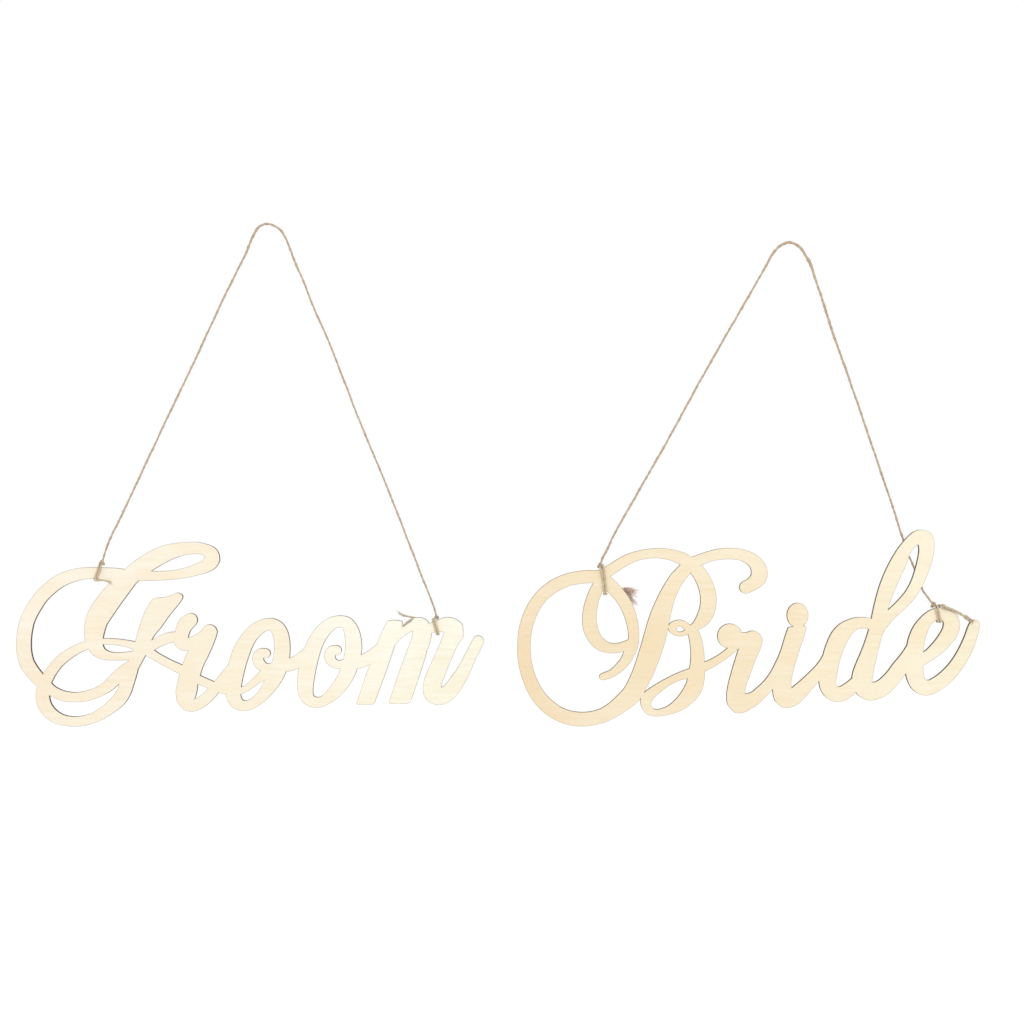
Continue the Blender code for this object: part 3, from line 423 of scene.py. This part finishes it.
def inner_slope(before, here, after):
    """Slope at a point of a smooth line, per unit of length, from its two neighbours."""
    back = (here - before).length
    ahead = (after - here).length
    return ((here - before) * (ahead / back) + (after - here) * (back / ahead)) / (back + ahead)


def smooth_line(knots, steps):
    """Points on a smooth line through knots, with this many steps to a span."""
    rows = [Vector(k) for k in knots]
    slopes = [(rows[1] - rows[0]).normalized()]
    slopes += [inner_slope(*three) for three in zip(rows, rows[1:], rows[2:])]
    slopes.append((rows[-1] - rows[-2]).normalized())
    out = [rows[0]]
    for i in range(len(rows) - 1):
        chord = (rows[i + 1] - rows[i]).length
        out += [hermite(rows[i], slopes[i], rows[i + 1], slopes[i + 1], chord, k / steps)
                for k in range(1, steps + 1)]
    return out


def twine_line(route, left, right, shift, into_knot=0.0):
    """Centreline of a hanging twine from the left knot to the right, in metres.

    Its ends may run on into the knots, by a length on the sheet.
    """
    def end(knot, towards):
        here = Vector((knot[0], 0.0, knot[1]))
        way = (Vector((towards[0], towards[2], towards[1])) - here).normalized()
        return [here + way * (OFF_KNOT - into_knot), here + way * (OFF_KNOT + TWINE)]

    middle = [Vector((x, y, z)) for x, z, y in route]
    knots = end(left, route[0]) + middle + end(right, route[-1])[::-1]
    return [on_sheet(p, shift) for p in smooth_line(knots, 12)]


def tie_line(tie, pitch, shift):
    """Centreline of a hitch, from the knot down the front, round the stroke and out along its tail."""
    (knot_x, knot_z), strand, lean, top, bottom, side, last, tail = tie
    half = BOARD / 2

    def arc(y, z, first):
        angles = [math.radians(first + 90.0 * k / (ARC_POINTS - 1)) for k in range(ARC_POINTS)]
        return [(y + OFF_WOOD * math.cos(a), z + OFF_WOOD * math.sin(a)) for a in angles]

    quarters = [bottom + (top - bottom) * k / 4.0 for k in (1, 2, 3)]
    loop = [(-half - OFF_WOOD, z) for z in reversed(quarters)]
    loop += arc(-half, bottom, 180.0) + [(0.0, bottom - OFF_WOOD)] + arc(half, bottom, 270.0)
    loop += [(half + OFF_WOOD, z) for z in quarters]
    loop += arc(half, top, 0.0) + [(0.0, top + OFF_WOOD)] + arc(-half, top, 90.0)
    middle = (top + bottom) / 2.0
    turns = []
    for k in range(1, last):
        y, z = loop[k % len(loop)]
        moved = k // len(loop) + min(1.0, max(0.0, (k % len(loop) - 10) / 6.0))
        across = strand + lean * (z - middle) + side * ((TURN_PITCH - pitch) / 2 + pitch * moved)
        turns.append(Vector((across, y, z)))
    knot = Vector((knot_x, 0.0, knot_z))
    out = Vector(((strand + lean * (top - middle) - knot_x) * 0.5, -1.0, -0.45)).normalized()
    first = knot + out * OFF_KNOT
    second = first + out * TWINE
    down = (turns[1] - turns[0]).normalized()
    bend = [hermite(second, out, turns[0], down, (turns[0] - second).length, k / 4.0) for k in (1, 2, 3)]
    wound = [first, second] + bend + turns
    loose = smooth_line([turns[-2], turns[-1]] + [Vector(p) for p in tail], 6)[6:]
    return [on_sheet(p, shift) for p in wound + loose[1:]]


def evenly(line, step):
    """The line again, with points at even steps."""
    points = np.array([tuple(p) for p in line])
    along = np.concatenate([[0.0], np.cumsum(np.linalg.norm(np.diff(points, axis=0), axis=1))])
    count = max(2, int(round(along[-1] / step)) + 1)
    places = np.linspace(0.0, along[-1], count)
    return np.stack([np.interp(places, along, points[:, k]) for k in range(3)], axis=1), places


def softened(points, rounds):
    """The points drawn towards their neighbours' middle, with the ends held."""
    for _ in range(rounds):
        points[1:-1] = points[1:-1] * 0.5 + (points[:-2] + points[2:]) * 0.25
    return points


def frames(points):
    """Two cross directions along a line, without any twist of their own."""
    heading = np.gradient(points, axis=0)
    heading /= np.linalg.norm(heading, axis=1)[:, None]
    side = np.cross(heading[0], (0.0, 1.0, 0.0) if abs(heading[0][1]) < 0.9 else (1.0, 0.0, 0.0))
    sides = []
    for way in heading:
        side = side - way * side.dot(way)
        side /= np.linalg.norm(side)
        sides.append(side)
    sides = np.array(sides)
    return sides, np.cross(heading, sides)


def drift(rng, along, waves):
    """Smooth random values along a length, from -1 to 1."""
    total = np.zeros_like(along)
    for wave in waves:
        total += np.sin(2 * math.pi * along / (wave * rng.uniform(0.8, 1.25)) + rng.uniform(0, 2 * math.pi))
    return total / len(waves)


def twisted_twine(name, line, finish, twist, seed, diameter=TWINE * SHEET, step=0.00032, sides=14,
                  girths=((0, 1), (1, 1)), wander=0.00012):
    """Two strands laid up into one twine along a line, as one closed skin whose rings turn with them."""
    rng = np.random.default_rng(seed)
    points, along = evenly(line, step)
    points = softened(points, 6)
    side, up = frames(points)
    from_end = np.minimum(along, along[-1] - along)
    ends = np.clip(from_end / HELD, 0.0, 1.0)[:, None]
    points = points + side * (drift(rng, along, (0.009, 0.021, 0.034)) * wander)[:, None] * ends
    points = points + up * (drift(rng, along, (0.008, 0.019, 0.041)) * wander)[:, None] * ends
    side, up = frames(points)
    turn = 2 * math.pi * along / twist + LOOSE * drift(rng, along, (0.013, 0.031, 0.07))
    girth = 1.0 + UNEVEN * drift(rng, along, (0.0052, 0.0093, 0.019, 0.043))
    girth *= np.interp(along / along[-1], *np.transpose(girths))
    girth *= np.clip(0.55 + from_end / TAPER, 0.55, 1.0)
    strand = diameter * STRAND
    apart = diameter * APART
    angles = 2 * math.pi * (np.arange(sides) + 0.5) / sides
    shape = apart * np.abs(np.cos(angles)) + np.sqrt(strand**2 - (apart * np.sin(angles))**2)
    lobes = np.where(np.cos(angles)[None, :] > 0, 1 + LOBE * drift(rng, along, (0.004, 0.011))[:, None],
                     1 + LOBE * drift(rng, along, (0.005, 0.009))[:, None])
    reach = shape[None, :] * girth[:, None] * lobes
    around = turn[:, None] + angles[None, :]
    places = (points[:, None, :] + side[:, None, :] * (np.cos(around) * reach)[:, :, None]
              + up[:, None, :] * (np.sin(around) * reach)[:, :, None])
    rings = len(points)
    faces = []
    uvs = []
    span = along / (math.pi * diameter)
    for i in range(rings - 1):
        for k in range(sides):
            n = (k + 1) % sides
            faces.append((i * sides + k, i * sides + n, (i + 1) * sides + n, (i + 1) * sides + k))
            uvs += [(k / sides, span[i]), ((k + 1) / sides, span[i]), ((k + 1) / sides, span[i + 1]),
                    (k / sides, span[i + 1])]
    faces.append(tuple(range(sides))[::-1])
    faces.append(tuple((rings - 1) * sides + k for k in range(sides)))
    uvs += [(0.5, 0.0)] * sides + [(0.5, span[-1])] * sides
    mesh = bpy.data.meshes.new(name)
    mesh.from_pydata(places.reshape(-1, 3).tolist(), [], faces)
    mesh.uv_layers.new(name="strand").data.foreach_set("uv", np.array(uvs, dtype=np.float32).ravel())
    # painted shade for the finish: 1 in the groove where the two strands meet, 0 on their crowns
    groove = np.tile(1.0 - np.abs(np.cos(angles)) ** 0.7, rings).astype(np.float32)
    mesh.attributes.new("groove", "FLOAT", "POINT").data.foreach_set("value", groove)
    mesh.shade_smooth()
    return add_piece(name, mesh, finish), points


def add_piece(name, mesh, *finishes):
    """A mesh as an object of the scene."""
    made = bpy.data.objects.new(name, mesh)
    bpy.context.scene.collection.objects.link(made)
    for finish in finishes:
        mesh.materials.append(finish)
    return made


def fibre_tree(finish):
    """Geometry Nodes that scatter thin curved fibres along a line, with named inputs."""
    group = bpy.data.node_groups.new("loose_fibres", "GeometryNodeTree")
    tree = Tree(group)
    face = group.interface
    face.new_socket("Line", in_out="INPUT", socket_type="NodeSocketGeometry")
    inputs = {}
    for label, kind, default in (
            ("Count", "NodeSocketInt", 100), ("Length", "NodeSocketFloat", 0.003),
            ("Slimness", "NodeSocketFloat", 0.012), ("Surface", "NodeSocketFloat", 0.0005),
            ("Lift", "NodeSocketFloat", 0.6), ("Backward", "NodeSocketFloat", 0.5),
            ("Curl", "NodeSocketFloat", 0.35), ("Seed", "NodeSocketInt", 1)):
        socket = face.new_socket(label, in_out="INPUT", socket_type=kind)
        socket.default_value = default
        inputs[label] = socket.identifier
    face.new_socket("Fibres", in_out="OUTPUT", socket_type="NodeSocketGeometry")
    given = dict(zip(["Line"] + list(inputs), tree.node("NodeGroupInput")))

    def chance(low, high, offset):
        return tree.node("FunctionNodeRandomValue", {"data_type": "FLOAT"},
                         {2: low, 3: high, 8: given["Seed"] + offset})[1]

    def scaled(vector, share):
        return tree.node("ShaderNodeVectorMath", {"operation": "SCALE"}, {0: vector, 3: share})[0]

    def added(one, other):
        return tree.node("ShaderNodeVectorMath", {"operation": "ADD"}, {0: one, 1: other})[0]

    line = tree.node("GeometryNodeMeshToCurve", None, {0: given["Line"]})[0]
    points = tree.node("GeometryNodePoints", None, {0: given["Count"]})[0]
    sample = tree.node("GeometryNodeSampleCurve", {"mode": "FACTOR", "use_all_curves": True},
                       {"Curves": line, "Factor": chance(0.0, 1.0, 0)})
    place, heading, side = sample[1], sample[2], sample[3]
    up = tree.node("ShaderNodeVectorMath", {"operation": "CROSS_PRODUCT"}, {0: heading, 1: side})[0]
    turn = chance(0.0, 2 * math.pi, 1)
    outward = added(scaled(side, tree.maths("COSINE", turn)), scaled(up, tree.maths("SINE", turn)))
    sense = 1.0 - 2.0 * (chance(0.0, 1.0, 2) < given["Backward"])
    away = given["Lift"] * chance(0.2, 1.3, 3)
    way = added(scaled(heading, sense), scaled(outward, away))
    seated = tree.node("GeometryNodeSetPosition", None,
                       {0: points, 2: added(place, scaled(outward, given["Surface"]))})[0]
    turned = tree.node("FunctionNodeAlignRotationToVector", {"axis": "Z"}, {"Vector": way})[0]
    rolled = tree.node("FunctionNodeAlignRotationToVector", {"axis": "X", "pivot_axis": "Z"},
                       {"Rotation": turned, "Vector": outward})[0]
    cone = tree.node("GeometryNodeMeshCone", {"fill_type": "NGON"},
                     {"Vertices": 3, "Side Segments": 5, "Radius Top": given["Slimness"] * 0.35,
                      "Radius Bottom": given["Slimness"], "Depth": 1.0})[0]
    height = tree.node("ShaderNodeSeparateXYZ", None, {0: tree.node("GeometryNodeInputPosition")[0]})[2]
    bow = tree.node("ShaderNodeCombineXYZ", None, {0: height * height * given["Curl"]})[0]
    curved = tree.node("GeometryNodeSetPosition", None, {0: cone, 3: bow})[0]
    placed = tree.node("GeometryNodeInstanceOnPoints", None,
                       {"Points": seated, "Instance": curved, "Rotation": rolled,
                        "Scale": scaled((1.0, 1.0, 1.0), given["Length"] * chance(0.35, 1.15, 4))})[0]
    real = tree.node("GeometryNodeRealizeInstances", None, {0: placed})[0]
    dressed = tree.node("GeometryNodeSetMaterial", None, {0: real, "Material": finish})[0]
    tree.node("NodeGroupOutput", None, {0: dressed})
    return group, inputs


def scatter_fibres(name, points, group, inputs, finish, settings):
    """Fibres along one line, as a plain mesh in its own object."""
    host_mesh = bpy.data.meshes.new(name + "_line")
    host_mesh.from_pydata([tuple(p) for p in points], [(i, i + 1) for i in range(len(points) - 1)], [])
    host = bpy.data.objects.new(name + "_line", host_mesh)
    bpy.context.scene.collection.objects.link(host)
    modifier = host.modifiers.new("fibres", "NODES")
    modifier.node_group = group
    for label, value in settings.items():
        modifier[inputs[label]] = value
    host.update_tag()
    graph = bpy.context.evaluated_depsgraph_get()
    graph.update()
    mesh = bpy.data.meshes.new_from_object(host.evaluated_get(graph))
    mesh.name = name
    host.modifiers.remove(modifier)
    bpy.data.objects.remove(host, do_unlink=True)
    if not mesh.polygons:
        raise RuntimeError(name + " came out empty")
    mesh.materials.clear()
    mesh.shade_smooth()
    return add_piece(name, mesh, finish)


def outline_of(node):
    """Closed outlines of a ply's front face, in sheet millimetres across and up, read from the part."""
    shape = bmesh.new()
    shape.from_mesh(node.data)
    shape.transform(node.matrix_world)
    bmesh.ops.remove_doubles(shape, verts=shape.verts[:], dist=2e-6)
    front = min(v.co.y for v in shape.verts)
    on_face = {f for f in shape.faces if all(v.co.y < front + 1e-5 for v in f.verts)}
    follow = {}
    for face in on_face:
        for loop in face.loops:
            if not any(other in on_face for other in loop.edge.link_faces if other is not face):
                follow[loop.vert.index] = loop.link_loop_next.vert.index
    places = {v.index: (v.co.x * TO_SHEET, v.co.z * TO_SHEET) for v in shape.verts}
    shape.free()
    outlines = []
    while follow:
        start = here = min(follow)
        outline = []
        while True:
            outline.append(places[here])
            here = follow.pop(here)
            if here == start:
                break
        outlines.append(np.array(outline))
    return outlines


def rounded_outline(outline, low, high):
    """The outline with points added on smooth curves; real corners stay sharp.

    A span's curve may leave its chord by no more than the part's own outline tolerance.
    """
    count = len(outline)
    ahead = np.roll(outline, -1, 0) - outline
    chords = np.linalg.norm(ahead, axis=1)
    headings = np.arctan2(ahead[:, 1], ahead[:, 0])
    turns = (headings - np.roll(headings, 1) + math.pi) % (2 * math.pi) - math.pi
    size = np.abs(turns)
    beside = np.maximum(np.roll(size, 1), np.roll(size, -1))
    sharp = ((size > math.radians(26)) & (size > 1.9 * beside)) | (size > math.radians(66))
    slopes = []
    for i in range(count):
        back, front = chords[i - 1], chords[i]
        least = 1.0 - BOW / front / max(size[i], 1e-6)
        most = BOW / back / max(size[i], 1e-6)
        share = min(max(back / (back + front), least), most)
        sharp[i] |= least > most
        way = headings[i - 1] + turns[i] * share
        slopes.append(Vector((math.cos(way), math.sin(way))))
    rows = [Vector(p) for p in outline]
    out = []
    for i in range(count):
        j = (i + 1) % count
        straight = (rows[j] - rows[i]) / chords[i]
        leave = straight if sharp[i] else slopes[i]
        reach = straight if sharp[j] else slopes[j]
        if sharp[i] and not sharp[j]:
            leave = (straight * 2 - reach).normalized()
        if sharp[j] and not sharp[i]:
            reach = (straight * 2 - leave).normalized()
        steps = max(1, min(6, round(chords[i] / FINE_SPAN)))
        out += [hermite(rows[i], leave, rows[j], reach, chords[i], k / steps) for k in range(steps)]
    return np.clip(np.array([tuple(p) for p in out]), low, high)


def distances(points, outlines):
    """How far each point is from the nearest outline."""
    least = np.full(len(points), 1e9)
    for outline in outlines:
        span = np.roll(outline, -1, 0) - outline
        reach = points[:, None, :] - outline[None, :, :]
        size = np.maximum((span**2).sum(1), 1e-12)
        t = np.clip((reach * span[None]).sum(2) / size[None], 0.0, 1.0)
        away = np.linalg.norm(reach - span[None] * t[:, :, None], axis=2).min(1)
        least = np.minimum(least, away)
    return least


def inset(outlines, width):
    """The outlines drawn into the material by a width, less where two cuts come close."""
    rings = []
    for outline in outlines:
        ahead = np.roll(outline, -1, 0) - outline
        ahead /= np.linalg.norm(ahead, axis=1)[:, None]
        left = np.stack([-ahead[:, 1], ahead[:, 0]], axis=1)
        both = left + np.roll(left, 1, 0)
        both /= np.maximum((both * left).sum(1), 0.35)[:, None]
        width_here = np.full(len(outline), width)
        for _ in range(7):
            ring = outline + both * width_here[:, None]
            close = distances(ring, outlines) < TIGHT_CUTS * width_here
            if not close.any():
                break
            width_here[close] *= 0.6
        rings.append(outline + both * width_here[:, None])
    return rings


def inside(point, outlines):
    """Whether a point is within an odd number of the outlines."""
    crossings = 0
    for outline in outlines:
        onward = np.roll(outline, -1, 0)
        spans = (outline[:, 1] > point[1]) != (onward[:, 1] > point[1])
        a, b = outline[spans], onward[spans]
        places = a[:, 0] + (b[:, 0] - a[:, 0]) * (point[1] - a[:, 1]) / (b[:, 1] - a[:, 1])
        crossings += int((point[0] < places).sum())
    return crossings % 2 == 1


def filled(rings):
    """Triangles that fill the outlines, as indices into their points in a row."""
    points = [Vector(p) for ring in rings for p in ring]
    edges = []
    for ring in rings:
        first = len(edges)
        edges += [(first + k, first + (k + 1) % len(ring)) for k in range(len(ring))]
    places, _, triangles, origins, _, _ = delaunay_2d_cdt(points, edges, [], 0, 1e-5)
    if len(places) != len(points):
        raise RuntimeError("an inset outline crosses itself")
    source = [own[0] for own in origins]
    kept = []
    for a, b, c in triangles:
        middle = (places[a] + places[b] + places[c]) / 3.0
        if inside(middle, rings):
            kept.append((source[a], source[b], source[c]))
    return kept


def ply_piece(name, profile, rings_at, fills, finishes):
    """One ply: rows of outline from its front face to its back, given as (inset, depth, scorch)."""
    rows = []
    scorch = []
    for width, depth, burn in profile:
        points = [p for ring in rings_at[width] for p in ring]
        rows += [(x * SHEET, depth, z * SHEET) for x, z in points]
        scorch += [burn] * len(points)
    count = len(rows) // len(profile)
    faces = []
    slots = []
    for level in range(len(profile) - 1):
        first = 0
        flat = profile[level][1] == profile[level + 1][1]
        for ring in rings_at[profile[level][0]]:
            size = len(ring)
            for k in range(size):
                a, b = first + k, first + (k + 1) % size
                near, far = level * count, (level + 1) * count
                faces.append((near + b, near + a, far + a, far + b))
                slots.append(0 if flat else 1)
            first += size
    for level, order in ((0, 1), (len(profile) - 1, -1)):
        for triangle in fills[profile[level][0]]:
            faces.append(tuple(level * count + i for i in triangle[::order]))
            slots.append(0)
    mesh = bpy.data.meshes.new(name)
    mesh.from_pydata(rows, [], faces)
    burnt = mesh.attributes.new("scorch", "FLOAT", "POINT")
    burnt.data.foreach_set("value", np.array(scorch, dtype=np.float32))
    mesh.polygons.foreach_set("material_index", slots)
    shape = bmesh.new()
    shape.from_mesh(mesh)
    if any(len(edge.link_faces) != 2 for edge in shape.edges):
        raise RuntimeError(name + " isn't closed")
    bmesh.ops.recalc_face_normals(shape, faces=shape.faces[:])
    shape.to_mesh(mesh)
    shape.free()
    mesh.shade_smooth()
    mesh.set_sharp_from_angle(angle=math.radians(30))
    return add_piece(name, mesh, *finishes)


class StageOperator(bpy.types.Operator):
    """Make the camera, floor, lamps and world."""

    bl_idname = "word_signs.stage"
    bl_label = "Stage"

    def execute(self, context):
        scene = context.scene
        sizes = scene.word_signs.sizes
        camera = bpy.data.cameras.new("camera")
        camera.lens = camera.sensor_width * VIEW_DISTANCE / VIEW_WIDTH
        holder = bpy.data.objects.new("camera", camera)
        holder.location = (VIEW_CENTRE[0], -VIEW_DISTANCE, VIEW_CENTRE[1])
        holder.rotation_euler = (math.pi / 2, 0.0, 0.0)
        scene.collection.objects.link(holder)
        scene.camera = holder
        for name, place, power in (
                ("front_lamp", (VIEW_CENTRE[0] - 0.05, -1.6, 0.5), sizes.lamp),
                ("back_lamp", (VIEW_CENTRE[0] + 0.4, 1.5, 0.45), sizes.lamp * 0.8)):
            lamp = bpy.data.lights.new(name, "AREA")
            lamp.shape = "DISK"
            lamp.size = LAMP_WIDTH
            lamp.energy = power
            stand = bpy.data.objects.new(name, lamp)
            stand.location = place
            aim = Vector((VIEW_CENTRE[0], 0.0, VIEW_CENTRE[1])) - stand.location
            stand.rotation_euler = aim.to_track_quat("-Z", "Y").to_euler()
            scene.collection.objects.link(stand)
        world = bpy.data.worlds.new("studio")
        world.use_nodes = True
        tree = Tree(world.node_tree)
        scene.world = world
        rays = tree.node("ShaderNodeLightPath")
        seen = tree.maths("MAXIMUM", tree.maths("MAXIMUM", rays[0], rays[3]), rays[6])
        sky = world.node_tree.nodes["Background"]
        sky.inputs["Color"].default_value = grey(1.0)
        connect(tree, seen + (1.0 - seen) * sizes.ambient, sky, "Strength")
        bpy.ops.mesh.primitive_plane_add(size=FLOOR_WIDTH, location=(VIEW_CENTRE[0], 0.0, FLOOR_LEVEL))
        floor = context.object
        floor.name = "floor"
        made, tree, shader = finish_of("pale_floor")
        where = tree.node("ShaderNodeTexCoord")[3]
        shade = tree.noise(where, (30.0, 30.0, 30.0), 1.0)
        connect(tree, tree.mix(shade, grey(0.80), grey(0.82)), shader, "Base Color")
        shader.inputs["Roughness"].default_value = 0.9
        shader.inputs["Specular IOR Level"].default_value = 0.0
        rays = tree.node("ShaderNodeLightPath")
        seen = tree.maths("MAXIMUM", rays[0], rays[3])
        connect(tree, tree.mix(seen, grey(0.0), grey(FLOOR_GLOW)), shader, "Emission Color")
        shader.inputs["Emission Strength"].default_value = 1.0
        floor.data.materials.append(made)
        scene.view_settings.view_transform = "Standard"
        return {"FINISHED"}


class TwinesOperator(bpy.types.Operator):
    """Lay the two hanging loops of jute twine, knot to knot."""

    bl_idname = "word_signs.twines"
    bl_label = "Hanging twines"

    def execute(self, context):
        settings = context.scene.word_signs
        colours = settings.colours
        finish = jute_finish("jute_twine", colours.jute_pale, colours.jute_dark, 2.0)
        wisps = jute_finish("jute_fibres", colours.jute_pale, colours.jute_dark, 5.0, laid=False)
        group, inputs = fibre_tree(wisps)
        for word, (route, real_length, seed) in TWINES.items():
            shift = SHIFTS[word]
            ends = TIES[word + "_left"][0], TIES[word + "_right"][0]
            line = twine_line(route, *ends, shift, INTO_KNOT)
            twine, points = twisted_twine(word + "_hanging_twine", line, finish, settings.sizes.twist, seed,
                                          girths=GIRTHS[word])
            fibres = scatter_fibres(word + "_twine_fibres", points[::8], group, inputs, wisps, {
                "Count": settings.sizes.fibres, "Length": settings.sizes.fibre, "Seed": seed})
            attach(twine, "hanger")
            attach(fibres, "hanger")
            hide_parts(word + "_twine")
            path = evenly(twine_line(route, *ends, shift), 0.003)[0]
        return {"FINISHED"}


class TiesOperator(bpy.types.Operator):
    """Wind each hitch round its stroke, with its frayed tail."""

    bl_idname = "word_signs.ties"
    bl_label = "Hitches and tails"

    def execute(self, context):
        settings = context.scene.word_signs
        colours = settings.colours
        finish = jute_finish("jute_hitch", colours.jute_wound, darker(colours.jute_wound, 0.52), 3.0)
        wisps = jute_finish("jute_tail_fibres", colours.jute_pale, colours.jute_dark, 6.0, laid=False)
        group, inputs = fibre_tree(wisps)
        rosy = jute_finish("jute_frayed_end", colours.jute_tuft, darker(colours.jute_tuft, 0.72), 8.0,
                           laid=False)
        for seed, (where, tie) in enumerate(TIES.items(), start=21):
            word = where.split("_")[0]
            pitch, girth, growth, tufts = LAID[where]
            line = tie_line(tie, pitch, SHIFTS[word])
            winding, points = twisted_twine(where + "_hitch", line, finish, settings.sizes.twist, seed,
                                            diameter=girth * SHEET, step=0.0003, girths=growth)
            frayed = rosy if where == "bride_left" else wisps
            pieces = [winding, scatter_fibres(where + "_hitch_fibres", points[::4], group, inputs, wisps, {
                "Count": 50, "Length": 0.0018, "Seed": seed})]
            for k, (count, reach, lift, off, guide) in enumerate(tufts):
                way = smooth_line([on_sheet(p, SHIFTS[word]) for p in guide], 6)
                pieces.append(scatter_fibres(f"{where}_tail_tuft_{k + 1}", way, group, inputs, frayed, {
                    "Count": count, "Length": reach, "Lift": lift, "Backward": 0.0, "Surface": off,
                    "Slimness": 0.013, "Curl": 0.2, "Seed": seed + 40 + k}))
            for piece in pieces:
                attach(piece, word + "_board")
            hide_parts(where + "_tie")
        return {"FINISHED"}


class KnotsOperator(bpy.types.Operator):
    """Tie the overhand knot at each end of the hanging twines."""

    bl_idname = "word_signs.knots"
    bl_label = "Knots"

    def execute(self, context):
        settings = context.scene.word_signs
        colours = settings.colours
        finish = jute_finish("jute_knot", colours.jute_pale, colours.jute_dark, 4.0)
        for seed, (where, tie) in enumerate(TIES.items(), start=31):
            word = where.split("_")[0]
            centre = on_sheet((tie[0][0], 0.0, tie[0][1]), SHIFTS[word])
            scale = KNOTS[where] * SHEET
            line = []
            for k in range(KNOT_STEPS + 1):
                t = math.radians(12 + 336 * k / KNOT_STEPS)
                across = math.sin(t) + 2 * math.sin(2 * t)
                rise = -(math.cos(t) - 2 * math.cos(2 * t))
                line.append(centre + Vector((across, 1.15 * math.sin(3 * t), rise)) * scale)
            knot, _ = twisted_twine(where + "_overhand", line, finish, settings.sizes.twist, seed,
                                    diameter=KNOT_TWINE * scale, step=0.00022, sides=12, wander=0.0)
            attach(knot, word + "_board")
            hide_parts(where + "_knot")
        return {"FINISHED"}


class BoardsOperator(bpy.types.Operator):
    """Cut the plies of both words, with their burnt edges."""

    bl_idname = "word_signs.boards"
    bl_label = "Plywood words"

    def execute(self, context):
        settings = context.scene.word_signs
        sizes = settings.sizes
        colours = settings.colours
        burnt = burnt_finish("burnt_veneer_edge", colours.burnt, colours.toasted, 7.0)
        core_edge = burnt_finish("burnt_core_edge", darker(colours.burnt, 0.7),
                                 darker(colours.toasted, 0.75), 9.0)
        arris = sizes.arris * TO_SHEET
        fade = sizes.scorch * TO_SHEET
        for word, left, right, seed in (("groom", colours.groom_left, colours.groom_right, 1.0),
                                        ("bride", colours.bride_left, colours.bride_right, 14.0)):
            node = bpy.data.objects[word + "_front_veneer"]
            outlines = outline_of(node)
            every = np.concatenate(outlines)
            low, high = every.min(0), every.max(0)
            outlines = [rounded_outline(o, low, high) for o in outlines]
            rings_at = {0.0: outlines, arris: inset(outlines, arris), fade: inset(outlines, fade)}
            fills = {width: filled(rings) for width, rings in rings_at.items()}
            ends = (low[0] * SHEET, high[0] * SHEET)
            front, back, core = (
                veneer_finish(f"{word}_{side}_face", darker(left, share), darker(right, share),
                              colours.scorched, seed + further, ends)
                for side, share, further in (("front", 1.0, 0.0), ("back", 0.95, 30.0), ("core", 0.75, 50.0)))
            face = BOARD / 2 * SHEET
            seam = CORE_PLY / 2 + PLY_GAP - sizes.glue_line
            veneer = [(fade, -face, 0.0), (arris, -face, 0.8), (0.0, -face + sizes.arris, 1.0),
                      (0.0, -face + FACE_PLY, 1.0)]
            middle = [(0.0, -seam, 1.0), (0.0, seam, 1.0)]
            rear = [(0.0, face - FACE_PLY, 1.0), (0.0, face - sizes.arris, 1.0), (arris, face, 0.8),
                    (fade, face, 0.0)]
            for part, profile, finishes in (("front_veneer", veneer, (front, burnt)),
                                            ("core_ply", middle, (core, core_edge)),
                                            ("back_veneer", rear, (back, burnt))):
                piece = ply_piece(f"{word}_cut_{part}", profile, rings_at, fills, finishes)
                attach(piece, word + "_board")
                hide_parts(f"{word}_{part}")
        return {"FINISHED"}


class SignPanel(bpy.types.Panel):
    """Buttons and settings for the word signs."""

    bl_idname = "VIEW3D_PT_word_signs"
    bl_label = "Word signs"
    bl_space_type = "VIEW_3D"
    bl_region_type = "UI"
    bl_category = "Word signs"

    def draw(self, context):
        settings = context.scene.word_signs
        for operator in OPERATORS:
            self.layout.operator(operator.bl_idname)
        for group in (settings.sizes, settings.colours):
            box = self.layout.box()
            for name in group.__annotations__:
                box.prop(group, name)


OPERATORS = (StageOperator, TwinesOperator, TiesOperator, KnotsOperator, BoardsOperator)
CLASSES = (SignSizes, SignColours, SignSettings, *OPERATORS, SignPanel)


def register():
    """Make the settings, operators and panel known."""
    for made in CLASSES:
        bpy.utils.register_class(made)
    bpy.types.Scene.word_signs = PointerProperty(type=SignSettings)


def unregister():
    """Take them away again."""
    del bpy.types.Scene.word_signs
    for made in reversed(CLASSES):
        bpy.utils.unregister_class(made)


def main():
    """Run every step in order."""
    register()
    bpy.ops.word_signs.stage()
    bpy.ops.word_signs.twines()
    bpy.ops.word_signs.ties()
    bpy.ops.word_signs.knots()
    bpy.ops.word_signs.boards()


if __name__ == "__main__":
    main()
